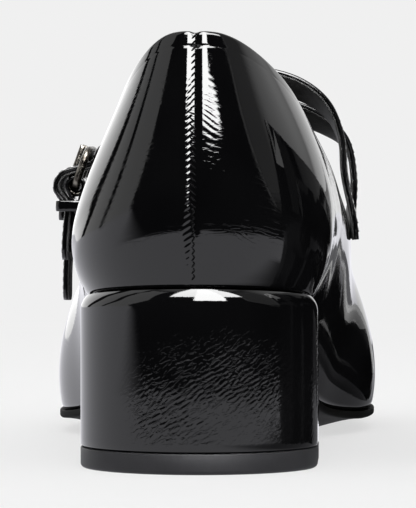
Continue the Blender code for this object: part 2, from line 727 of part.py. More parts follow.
def make_keeper(last, fastening, finish, group):
    """A small loop round the tab and the strap's free end, just over the topline."""
    thick = KEEPER_THICKNESS / 2.0
    wide = STRAP_WIDTH / 2.0 + GAP + thick
    low = tab_middle() - TAB_THICKNESS - GAP / 2.0 - GAP - thick
    high = tail_middle() + STRAP_THICKNESS / 2.0 + GAP + thick + KEEPER_SLACK
    middle = keeper_height(last, fastening)
    edge = last.side(fastening.buckle_y, middle, medial=False)
    corner = 1.0
    form = bmesh.new()
    rings = []
    for z in (-KEEPER_WIDTH / 2.0, KEEPER_WIDTH / 2.0):
        for grow in (thick, -thick):
            line = []
            for quarter in range(4):
                sx, sy = (1 if quarter in (0, 3) else -1), (1 if quarter in (0, 1) else -1)
                for a in np.radians([0.0, 45.0, 90.0]) + quarter * math.pi / 2.0:
                    radius = max(corner + grow, 0.2)
                    out = sx * ((high - low) / 2.0 + grow - radius) + radius * math.cos(a)
                    bar = sy * (wide + grow - radius) + radius * math.sin(a)
                    line.append((edge - (high + low) / 2.0 - out, fastening.buckle_y + bar, middle + z))
            rings.append(line)
    low_out, low_in, high_out, high_in = rings
    rows = loft(form, [low_out, high_out, high_in, low_in])
    for i in range(len(low_out)):
        j = (i + 1) % len(low_out)
        form.faces.new((rows[3][i], rows[3][j], rows[0][j], rows[0][i]))
    return place("keeper_" + fastening.name, form, finish, group)


def main():
    clear_scene()
    group = collection("pump")
    cutters = collection("cutters", hidden=True)
    patent = material("patent leather", (0.006, 0.006, 0.007), 0.12, coat=1.0)
    rubber = material("heel rubber", (0.035, 0.035, 0.038), 0.6)
    sole = material("sole", (0.022, 0.022, 0.021), 0.55)
    sock = material("insole", (0.02, 0.019, 0.018), 0.6)
    metal = material("gunmetal", (0.33, 0.32, 0.31), 0.25, metallic=1.0)
    last = Last(AROUND)
    make_top_piece(rubber, group)
    make_heel(patent, group)
    make_outsole(last, sole, group)
    make_insole(last, sock, group)
    make_upper(last, patent, group)
    for fastening in FASTENINGS:
        buckle = BucklePlace(last, fastening)
        make_strap(last, fastening, buckle, patent, group, cutters)
        make_tab(last, fastening, buckle, patent, group, cutters)
        make_buckle(fastening, buckle, metal, group)
        make_prong(fastening, buckle, metal, group)
        make_keeper(last, fastening, patent, group)


if __name__ == "__main__":
    main()
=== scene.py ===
"""Left shoe of a double-strap Mary Jane pump on a covered block heel, in black patent leather.

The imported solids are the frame. Every piece here is built over them in the same place: the last, the sole
line and the straps are repeated from the part in millimetres, and each mesh is written in metres. +Y runs to
the toe, +X to the medial side and +Z up, with the floor at z = 0.

A piece starts as a flat grid, as a pattern piece starts as flat leather. The grid is laid over its form, its
edges are joined, and its surface map keeps millimetres round the shoe and down from the edge, so that
wrinkles, ripples and grain follow the leather.
"""

from __future__ import annotations

import logging
import math
import sys
from dataclasses import dataclass, field, replace
from enum import Enum
from typing import NamedTuple, Sequence

import bmesh
import bpy
import numpy as np
from bmesh.types import BMesh
from bpy.types import Node, NodeSocket, NodeTree
from mathutils import Matrix, Vector

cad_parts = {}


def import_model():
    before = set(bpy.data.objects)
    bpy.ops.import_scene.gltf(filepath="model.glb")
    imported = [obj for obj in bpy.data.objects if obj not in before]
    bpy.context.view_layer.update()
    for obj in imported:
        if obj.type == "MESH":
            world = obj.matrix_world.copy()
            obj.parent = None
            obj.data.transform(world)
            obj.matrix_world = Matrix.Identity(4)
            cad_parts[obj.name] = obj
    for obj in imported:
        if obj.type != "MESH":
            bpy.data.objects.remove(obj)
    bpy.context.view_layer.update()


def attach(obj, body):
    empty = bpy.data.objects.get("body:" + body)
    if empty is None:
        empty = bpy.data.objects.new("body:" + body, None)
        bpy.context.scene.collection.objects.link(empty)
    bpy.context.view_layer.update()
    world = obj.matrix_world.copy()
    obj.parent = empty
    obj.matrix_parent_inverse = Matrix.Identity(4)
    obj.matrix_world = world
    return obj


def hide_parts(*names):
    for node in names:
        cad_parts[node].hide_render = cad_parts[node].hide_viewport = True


Array = np.ndarray
Hole = tuple[Vector, Vector, float, float]  # middle, direction, radius and length
LOG = logging.getLogger("pump")
MM = 0.001
SURFACE_MAP = "surface_mm"

# Driving sizes of the shoe, as in the part.
LENGTH = 250.0
BALL_WIDTH = 87.0
INSTEP = 52.0
HEEL_HEIGHT = 44.0
BACK_Y = -24.5
GAP = 0.3
WALL = 1.8
SHARP = 40.0  # degrees past which an edge is shown sharp


class Slot(Enum):
    """Material slots of the record. The pieces here don't take their finish from them."""

    PATENT = "patent"
    SOLE = "sole"
    LINING = "lining"
    RUBBER = "heel_rubber"
    METAL = "metal"


class Level(NamedTuple):
    """A point of the sole's underside along the shoe, with its slope there."""

    y: float
    z: float
    slope: float


SOLE_LINE = (
    Level(y=-30.0, z=HEEL_HEIGHT, slope=-0.10),
    Level(y=26.0, z=HEEL_HEIGHT - 5.6, slope=-0.10),
    Level(y=62.0, z=25.5, slope=-0.46),
    Level(y=98.0, z=6.6, slope=-0.38),
    Level(y=124.0, z=0.0, slope=0.0),
    Level(y=156.0, z=0.0, slope=0.0),
    Level(y=227.0, z=8.4, slope=0.19),
)


class Rib(NamedTuple):
    """One section up the side of the shoe, from the feather line to the topline, in the part's shares."""

    name: str
    foot_along: float
    foot_out: float
    top_along: float
    top_out: float
    top_rise: float
    low_out: float
    low_up: float
    top_run: float
    high_out: float
    high_down: float


RIBS = (
    Rib("back seam", 0.012, 0.000, 0.022, 0.000, 2.022, 5.0, 14.0, 0.00, 5.5, 20.0),
    Rib("back medial", 0.019, 0.215, 0.027, 0.130, 2.016, 5.2, 14.0, 0.00, 5.8, 20.0),
    Rib("heel medial", 0.044, 0.440, 0.044, 0.290, 1.955, 6.0, 14.0, 0.00, 7.0, 20.0),
    Rib("seat medial", 0.084, 0.584, 0.086, 0.440, 1.840, 7.2, 14.0, 0.00, 8.2, 18.0),
    Rib("quarter medial", 0.178, 0.621, 0.178, 0.610, 1.600, 8.6, 14.0, 0.00, 7.2, 16.0),
    Rib("arch medial", 0.258, 0.570, 0.258, 0.710, 1.425, 9.0, 14.0, 0.00, 5.0, 14.0),
    Rib("waist medial", 0.338, 0.545, 0.338, 0.765, 1.280, 8.6, 15.0, 0.00, 3.6, 14.0),
    Rib("strap medial", 0.426, 0.570, 0.426, 0.805, 1.168, 8.6, 16.0, 0.00, 3.0, 15.0),
    Rib("joint medial", 0.514, 0.705, 0.510, 0.805, 1.100, 7.0, 17.0, 0.10, 3.0, 14.0),
    Rib("throat medial", 0.592, 0.890, 0.584, 0.705, 1.054, 5.4, 18.0, 0.25, 5.5, 11.0),
    Rib("ball medial", 0.668, 0.955, 0.640, 0.535, 1.026, 4.2, 18.0, 0.38, 6.5, 8.0),
    Rib("toes medial", 0.762, 0.910, 0.674, 0.350, 1.010, 4.2, 18.0, 0.48, 5.0, 7.0),
    Rib("toe side medial", 0.856, 0.775, 0.690, 0.190, 1.002, 4.2, 17.0, 0.55, 3.0, 7.5),
    Rib("toe round medial", 0.942, 0.525, 0.696, 0.085, 1.000, 4.2, 16.5, 0.60, 1.0, 8.0),
    Rib("toe tip", 0.996, 0.050, 0.698, 0.000, 1.000, 4.2, 16.0, 0.62, 0.0, 8.0),
    Rib("toe round lateral", 0.948, -0.470, 0.696, -0.085, 1.000, 4.2, 16.5, 0.60, 1.0, 8.0),
    Rib("toe side lateral", 0.862, -0.755, 0.690, -0.190, 1.002, 4.2, 17.0, 0.55, 3.0, 7.5),
    Rib("toes lateral", 0.766, -0.915, 0.674, -0.350, 1.008, 4.2, 18.0, 0.48, 5.0, 7.0),
    Rib("ball lateral", 0.664, -0.985, 0.638, -0.540, 1.020, 4.0, 18.0, 0.38, 6.5, 8.0),
    Rib("throat lateral", 0.584, -0.955, 0.580, -0.690, 1.042, 3.6, 17.0, 0.25, 5.5, 11.0),
    Rib("joint lateral", 0.510, -0.800, 0.508, -0.770, 1.075, 3.6, 16.0, 0.10, 2.6, 14.0),
    Rib("strap lateral", 0.430, -0.680, 0.430, -0.780, 1.122, 4.0, 15.0, 0.00, 1.6, 15.0),
    Rib("waist lateral", 0.346, -0.660, 0.346, -0.730, 1.210, 4.8, 14.0, 0.00, 2.4, 14.0),
    Rib("arch lateral", 0.262, -0.630, 0.262, -0.640, 1.350, 7.0, 14.0, 0.00, 3.6, 14.0),
    Rib("quarter lateral", 0.178, -0.625, 0.178, -0.520, 1.540, 9.6, 14.0, 0.00, 5.8, 16.0),
    Rib("seat lateral", 0.084, -0.580, 0.086, -0.380, 1.810, 8.0, 14.0, 0.00, 7.0, 18.0),
    Rib("heel lateral", 0.044, -0.440, 0.044, -0.262, 1.944, 5.6, 14.0, 0.00, 6.6, 20.0),
    Rib("back lateral", 0.019, -0.215, 0.027, -0.126, 2.016, 5.1, 14.0, 0.00, 5.8, 20.0),
)


class Fold(NamedTuple):
    """A point of the rear strap's middle line over the instep, and shares that place the front strap's."""

    x: float
    y: float
    z: float
    tilt: float
    ahead: float
    drop: float
    out: float


INSTEP_FOLDS = (
    Fold(x=34.4, y=93.0, z=70.0, tilt=0.0, ahead=1.0, drop=0.1, out=1.0),
    Fold(x=33.4, y=92.5, z=80.0, tilt=10.0, ahead=1.0, drop=0.4, out=0.7),
    Fold(x=29.4, y=91.5, z=87.6, tilt=22.0, ahead=0.95, drop=0.8, out=0.4),
    Fold(x=21.4, y=90.0, z=93.0, tilt=29.0, ahead=0.9, drop=1.0, out=0.2),
    Fold(x=8.0, y=88.0, z=95.4, tilt=31.0, ahead=0.88, drop=1.0, out=0.0),
    Fold(x=-7.0, y=85.5, z=92.6, tilt=29.0, ahead=0.9, drop=1.0, out=0.0),
    Fold(x=-19.0, y=82.5, z=86.2, tilt=18.0, ahead=1.0, drop=0.5, out=0.0),
)


class Fastening(NamedTuple):
    """One strap: where its ends lie along the shoe in mm, and how low its free end hangs."""

    name: str
    medial_y: float
    buckle_y: float
    tail_z: float
    front: bool


FASTENINGS = (
    Fastening(name="rear", medial_y=93.0, buckle_y=79.0, tail_z=48.0, front=False),
    Fastening(name="front", medial_y=105.6, buckle_y=93.6, tail_z=37.0, front=True),
)


def smoothstep(start: float, end: float, value: Array | float) -> Array:
    """Share from 0 at start to 1 at end, which may be the lower one, with no corner at either."""
    t = np.clip((np.asarray(value, float) - start) / (end - start), 0.0, 1.0)
    return t * t * (3.0 - 2.0 * t)


def bump(value: Array | float, width: float) -> Array:
    """A soft hump of height 1 at 0 that is gone about two widths away."""
    return np.exp(-((np.asarray(value, float) / width) ** 2))


def hermite(t: Array, span: Array, ends: Sequence[Array]) -> Array:
    """Cubic between two knots.

    Args:
        t: share of the way between them.
        span: distance between them.
        ends: the value and the slope at the first knot, then at the second.

    Returns:
        The values at t.
    """
    return (
        ends[0] * (2 * t**3 - 3 * t**2 + 1)
        + ends[1] * span * (t**3 - 2 * t**2 + t)
        + ends[2] * (3 * t**2 - 2 * t**3)
        + ends[3] * span * (t**3 - t**2)
    )


def read_at(at: Array | float, run: Array, rows: Array) -> Array:
    """Values of the rows, which lie at distances that grow along a run, read at other distances."""
    return np.stack([np.interp(at, run, column) for column in rows.T], axis=-1)


@dataclass(frozen=True)
class SoleLine:
    """The sole along the shoe: its underside, its rounding across and its thickness, in mm."""

    thickness: float = 2.0
    seat_thickness: float = 1.0
    tread_round: float = 3.8
    flat_share: float = 0.5

    def under(self, y: Array | float) -> Array:
        """Height of the underside at y, by cubic pieces through SOLE_LINE."""
        y = np.asarray(y, float)
        knots = np.array([level.y for level in SOLE_LINE])
        rows = np.array(SOLE_LINE)
        i = np.clip(np.searchsorted(knots, y) - 1, 0, len(knots) - 2)
        here, there = rows[i], rows[i + 1]
        span = there[..., 0] - here[..., 0]
        t = (y - here[..., 0]) / span
        return hermite(t, span, (here[..., 1], here[..., 2], there[..., 1], there[..., 2]))

    def lift(self, y: Array | float) -> Array:
        """How far the sole's edge stands over its middle."""
        return self.tread_round * smoothstep(92.0, 122.0, y) * smoothstep(222.0, 172.0, y)

    def thick(self, y: Array | float) -> Array:
        """The sole is full in front of the heel breast and pared thin over the heel seat."""
        return self.seat_thickness + (self.thickness - self.seat_thickness) * smoothstep(26.0, 46.0, y)

    def feather(self, y: Array | float) -> Array:
        """Height of the feather line, where the upper meets the sole."""
        return self.under(y) + self.lift(y) + self.thick(y) + GAP

    def rolled(self, y: Array, side: Array) -> Array:
        """Height of the underside, where side runs from 0 in the middle to 1 at the edge."""
        return self.under(y) + self.lift(y) * smoothstep(self.flat_share, 1.0, side)


SOLE = SoleLine()


def closed_spline(knots: Array, period: float, values: Array, at: Array) -> tuple[Array, Array]:
    """Cubic spline closed over a period.

    Args:
        knots: rising places of the given values.
        period: length after which the curve repeats.
        values: one row of values for each knot.
        at: places to read.

    Returns:
        The rows of values at those places, and their slopes.
    """
    count = len(knots)
    step = np.diff(np.append(knots, knots[0] + period))
    system = np.zeros((count, count))
    right = np.zeros((count, values.shape[1]))
    for i in range(count):
        before, after = step[i - 1], step[i]
        system[i, i - 1] += before
        system[i, i] += 2.0 * (before + after)
        system[i, (i + 1) % count] += after
        right[i] = 6.0 * (
            (values[(i + 1) % count] - values[i]) / after - (values[i] - values[i - 1]) / before
        )
    bend = np.linalg.solve(system, right)
    at = np.mod(at, period)
    i = np.searchsorted(knots, at, side="right") - 1
    j = (i + 1) % count
    h = step[i][:, None]
    a = (knots[i] + step[i] - at)[:, None] / h
    b = 1.0 - a
    value = a * values[i] + b * values[j] + ((a**3 - a) * bend[i] + (b**3 - b) * bend[j]) * h**2 / 6.0
    slope = (values[j] - values[i]) / h + (
        (1.0 - 3.0 * a**2) * bend[i] + (3.0 * b**2 - 1.0) * bend[j]
    ) * h / 6.0
    return value, slope


class Last:
    """The shoe's form at places round the feather line, from the back seam medially round the toe."""

    def __init__(self, at: Array) -> None:
        """Reads every rib at places round the shoe.

        Args:
            at: the places, as shares of the way round.
        """
        rows = np.array([rib[1:] for rib in RIBS])
        rows[:, [0, 2]] = BACK_Y + LENGTH * rows[:, [0, 2]]
        rows[:, [1, 3]] *= BALL_WIDTH / 2.0
        foot = rows[:, [1, 0]]
        chords = np.linalg.norm(np.roll(foot, -1, axis=0) - foot, axis=1)
        toe = [rib.name for rib in RIBS].index("toe tip")
        chords[:toe] /= 2.0 * chords[:toe].sum()
        chords[toe:] /= 2.0 * chords[toe:].sum()
        knots = np.concatenate([[0.0], np.cumsum(chords)[:-1]])
        row, slope = closed_spline(knots, 1.0, rows, at)
        self.foot = row[:, [1, 0]]
        run = slope[:, [1, 0]]
        run /= np.linalg.norm(run, axis=1)[:, None]
        self.out = np.stack([run[:, 1], -run[:, 0]], axis=1)
        self.foot_z = SOLE.feather(self.foot[:, 1])
        self.top = row[:, [3, 2]]
        self.top_z = INSTEP * row[:, 4]
        self.low_out, self.low_up, self.top_run, self.high_out, self.high_down = row[:, 5:].T

    def outline(self, inset: Array | float) -> Array:
        """The feather line in plan, moved inward by inset."""
        return self.foot - self.out * np.asarray(inset, float).reshape(-1, 1)

    def margin(self, inset: Array | float, lift: float = 0.0) -> Array:
        """Ring of the lasting margin under the foot."""
        line = self.outline(inset)
        return np.column_stack([line, SOLE.feather(line[:, 1]) + lift])

    def wall(self, share: float) -> Array:
        """Ring of points on the outer wall, from share 0 at the feather line to 1 at the topline."""
        low = np.column_stack([self.foot + self.out * self.low_out[:, None], self.foot_z + self.low_up])
        reach = (self.foot - self.top) * self.top_run[:, None] + self.out * self.high_out[:, None]
        high = np.column_stack([self.top + reach, self.top_z - self.high_down])
        foot = np.column_stack([self.foot, self.foot_z])
        top = np.column_stack([self.top, self.top_z])
        t = share
        return (1 - t) ** 3 * foot + 3 * (1 - t) ** 2 * t * low + 3 * (1 - t) * t**2 * high + t**3 * top

    def side(self, y: float, z: float, medial: bool) -> float:
        """Distance of the outer wall from the middle plane at y and z, and the topline's over the topline."""
        rings = np.array([self.wall(share) for share in np.linspace(0.0, 1.0, 41)])
        sign = 1.0 if medial else -1.0
        chosen = rings[:, (rings[0, :, 0] * sign > 15.0) & (np.abs(self.out[:, 0]) > 0.4)]
        ribs = [read_at(z, rib[:, 2], rib[:, 1::-1] * (1.0, sign)) for rib in np.swapaxes(chosen, 0, 1)]
        ribs = np.array(sorted(map(tuple, ribs)))
        return sign * float(np.interp(y, ribs[:, 0], ribs[:, 1]))

    def edge_height(self, y: float, medial: bool) -> float:
        """Height of the topline on one side at y."""
        chosen = (self.top[:, 0] > 0.0) == medial
        order = np.argsort(self.top[chosen, 1])
        return float(np.interp(y, self.top[chosen, 1][order], self.top_z[chosen][order]))


# ---------------- leather work


def unit(rows: Array) -> Array:
    """The same directions, each of length 1."""
    return rows / np.maximum(np.linalg.norm(rows, axis=-1, keepdims=True), 1e-12)


def run_of(path: Array, axis: int = 0) -> Array:
    """Length run along an array of points, from its first one, in mm."""
    steps = np.linalg.norm(np.diff(path, axis=axis), axis=-1)
    start = np.zeros_like(np.take(steps, [0], axis=axis))
    return np.concatenate([start, np.cumsum(steps, axis=axis)], axis=axis)


def normals_of(points: Array) -> Array:
    """Outward directions of a grid of points whose columns go round and whose rows go up."""
    around = np.gradient(points, axis=1)
    joined = np.linalg.norm(points[:, 0] - points[:, -1], axis=1) < 1e-6
    wrap = points[:, 1] - points[:, -2]
    around[joined, 0] = wrap[joined]
    around[joined, -1] = wrap[joined]
    return unit(np.cross(around, np.gradient(points, axis=0)))


@dataclass
class Sheet:
    """A grid of points in mm, rows up and columns round, with its surface map."""

    points: Array
    around: Array | None = None
    up: Array | None = None

    def form(self) -> BMesh:
        """A flat grid with one vertex for each point, laid over them and joined where its edges meet.

        Returns:
            The form, in mm, with its surface map.
        """
        rows, columns = self.points.shape[:2]
        around = self.around if self.around is not None else run_of(self.points, axis=1)
        up = self.up if self.up is not None else run_of(self.points, axis=0)
        marks = np.stack(np.broadcast_arrays(around, up), axis=-1).reshape(-1, 2)
        form = bmesh.new()
        layer = form.loops.layers.uv.new(SURFACE_MAP)
        bmesh.ops.create_grid(form, x_segments=columns - 1, y_segments=rows - 1, size=1.0)
        form.verts.index_update()
        for vertex, point in zip(form.verts, self.points.reshape(-1, 3)):
            vertex.co = point
        for face in form.faces:
            for loop in face.loops:
                loop[layer].uv = marks[loop.vert.index]
        bmesh.ops.remove_doubles(form, verts=form.verts, dist=1e-4)
        bmesh.ops.dissolve_degenerate(form, edges=form.edges, dist=1e-5)
        return form


def capped(form: BMesh) -> BMesh:
    """Closes every open ring of edges with a face."""
    rim = [edge for edge in form.edges if edge.is_boundary]
    if rim:
        bmesh.ops.holes_fill(form, edges=rim, sides=0)
    return form


def smooth_path(rows: Sequence[Sequence[float]], count: int) -> Array:
    """Points spaced evenly along a smooth curve through rows, in which extra columns are carried along.

    Args:
        rows: x, y, z and any more columns of each place that the curve runs through.
        count: how many points to make.

    Returns:
        The points, one to a row.
    """
    table = np.asarray(rows, float)
    chord = np.sqrt(np.linalg.norm(np.diff(table[:, :3], axis=0), axis=1))
    knots = np.concatenate([[0.0], np.cumsum(chord)])
    slope = np.gradient(table, knots, axis=0)
    fine = np.linspace(0.0, knots[-1], 20 * len(table))
    i = np.clip(np.searchsorted(knots, fine, side="right") - 1, 0, len(knots) - 2)
    span = (knots[i + 1] - knots[i])[:, None]
    t = (fine - knots[i])[:, None] / span
    curve = hermite(t, span, (table[i], slope[i], table[i + 1], slope[i + 1]))
    run = run_of(curve[:, :3])
    return read_at(np.linspace(0.0, run[-1], count), run, curve)


@dataclass
class Run:
    """A path with its own directions at each point: along it, across it and outward."""

    points: Array
    across: Array
    closed: bool = False
    flip: float = 1.0
    along: Array = field(init=False)
    out: Array = field(init=False)

    def __post_init__(self) -> None:
        """Works out the directions from the path."""
        if self.closed:
            self.along = unit(np.roll(self.points, -1, axis=0) - np.roll(self.points, 1, axis=0))
        else:
            self.along = unit(np.gradient(self.points, axis=0))
        across = np.broadcast_to(self.across, self.points.shape).astype(float)
        across = across - self.along * np.sum(across * self.along, axis=1)[:, None]
        self.across = unit(across)
        self.out = self.flip * np.cross(self.across, self.along)

    def at(self, distance: float, across: float, out: float) -> tuple[Vector, Vector, Vector]:
        """A place by the path: its point, the direction along the path and the outward direction."""
        run = run_of(self.points)
        ways = (self.along, self.across, self.out)
        along, side, outward = (unit(read_at(distance, run, rows)) for rows in ways)
        point = read_at(distance, run, self.points) + side * across + outward * out
        return Vector(point), Vector(along), Vector(outward)

    def skinned(self, outline: Array, width: Array | float = 1.0) -> BMesh:
        """Carries a closed outline along the path.

        Args:
            outline: points of (across, out) in mm, in order round the section.
            width: share of the outline's width at each point of the path.

        Returns:
            A closed form, capped at both ends unless the path is closed.
        """
        ring = np.vstack([outline, outline[:1]])
        widths = np.broadcast_to(width, len(self.points))[:, None, None]
        points = (
            self.points[:, None]
            + self.across[:, None] * ring[None, :, :1] * widths
            + self.out[:, None] * ring[None, :, 1:]
        )
        if self.closed:
            points = np.concatenate([points, points[:1]])
        sheet = Sheet(points, around=np.broadcast_to(ring[:, 0], points.shape[:2]))
        return capped(sheet.form())


def corner_points(across: float, upward: float, corner: float, steps: int) -> Array:
    """The four rounded corners of a box about its middle, anticlockwise.

    Args:
        across: half its width, in mm.
        upward: half its height, in mm.
        corner: radius of its corners.
        steps: edges in each corner.

    Returns:
        For each corner the rows of its points.
    """
    points = []
    for quarter, (sx, sy) in enumerate(((1, 1), (-1, 1), (-1, -1), (1, -1))):
        turn = math.pi / 2.0 * (quarter + np.arange(steps + 1) / steps)
        x = sx * (across - corner) + corner * np.cos(turn)
        points.append(np.column_stack([x, sy * (upward - corner) + corner * np.sin(turn)]))
    return np.array(points)


def rounded_box(width: float, height: float, corner: float, steps: int = 4, crown: float = 0.0) -> Array:
    """Outline of a bar or a band about its middle.

    Args:
        width: size across, in mm.
        height: size outward, in mm.
        corner: radius of its corners.
        steps: edges in each corner.
        crown: how far the outer face stands up in its middle.

    Returns:
        Points of (across, out), anticlockwise seen along the path.
    """
    corner = min(corner, width / 2.0, height / 2.0)
    corners = corner_points(width / 2.0, height / 2.0, corner, steps)
    share = np.array([0.6, 0.2, -0.2, -0.6])
    reach = share * (width / 2.0 - corner)
    outer = np.column_stack([reach, height / 2.0 + crown * (1.0 - share**2)])
    inner = np.column_stack([-reach, np.full(len(share), -height / 2.0)])
    return np.vstack([corners[0], outer, corners[1], corners[2], inner, corners[3]])


def rounding(start: float, end: float, count: int) -> list[tuple[float, float]]:
    """Shares of its radius, inward and upward, at even turns round an edge from one angle to another."""
    return [(1.0 - math.sin(a), 1.0 - math.cos(a)) for a in np.radians(np.linspace(start, end, count))]


# ---------------- finishes


def srgb(code: str) -> tuple[float, float, float, float]:
    """Linear colour of an sRGB hex value."""
    parts = [int(code.lstrip("#")[i : i + 2], 16) / 255.0 for i in (0, 2, 4)]
    linear = [p / 12.92 if p <= 0.04045 else ((p + 0.055) / 1.055) ** 2.4 for p in parts]
    return (linear[0], linear[1], linear[2], 1.0)


def fill(node: Node, values: dict[str | int, object]) -> None:
    """Sets constants on a node's inputs."""
    for key, value in values.items():
        node.inputs[key].default_value = value


def add(
    tree: NodeTree,
    kind: str,
    links: dict[str | int, Node | NodeSocket] | None = None,
    values: dict[str | int, object] | None = None,
    **settings: object,
) -> Node:
    """Adds a node to a tree.

    Args:
        tree: the tree that takes the node.
        kind: the node's type.
        links: what feeds the node's inputs: a socket, or a node for its first output.
        values: constants of the node's inputs.
        settings: the node's own properties.

    Returns:
        The new node.
    """
    node = tree.nodes.new(kind)
    for key, setting in settings.items():
        setattr(node, key, setting)
    fill(node, values or {})
    for key, source in (links or {}).items():
        tree.links.new(source.outputs[0] if isinstance(source, Node) else source, node.inputs[key])
    return node


@dataclass(frozen=True)
class Finish:
    """What every finish has: a name, a main colour in sRGB and a material that is made once."""

    name: str
    colour: str

    def material(self) -> bpy.types.Material:
        """The finish's material."""
        found = bpy.data.materials.get(self.name)
        if found is not None:
            return found
        made = bpy.data.materials.new(self.name)
        made.use_nodes = True
        made.diffuse_color = srgb(self.colour)
        tree = made.node_tree
        self.dress(tree, tree.nodes["Principled BSDF"])
        return made

    def dress(self, tree: NodeTree, shader: Node) -> None:
        """Sets the finish's nodes.

        Args:
            tree: the finish's node tree.
            shader: its Principled BSDF.
        """
        fill(shader, {"Base Color": srgb(self.colour)})

    def tinted(self, tree: NodeTree, shader: Node, other: str, share: Node | NodeSocket) -> None:
        """Lets the base colour wander between the main colour and another one."""
        blend = add(
            tree, "ShaderNodeMix", {0: share}, {6: srgb(self.colour), 7: srgb(other)}, data_type="RGBA"
        )
        tree.links.new(blend.outputs[2], shader.inputs["Base Color"])

    def raised(
        self, tree: NodeTree, height: Node | NodeSocket, depth_mm: float, under: NodeSocket | None = None
    ) -> NodeSocket:
        """Turns a height into a relief.

        Args:
            tree: the finish's node tree.
            height: the height, 0 to 1.
            depth_mm: what a height of 1 stands for.
            under: the normal of a relief that lies under this one.

        Returns:
            The relief's normal.
        """
        links = {"Height": height, "Normal": under} if under else {"Height": height}
        relief = add(tree, "ShaderNodeBump", links, {"Strength": 1.0, "Distance": depth_mm * MM})
        return relief.outputs["Normal"]


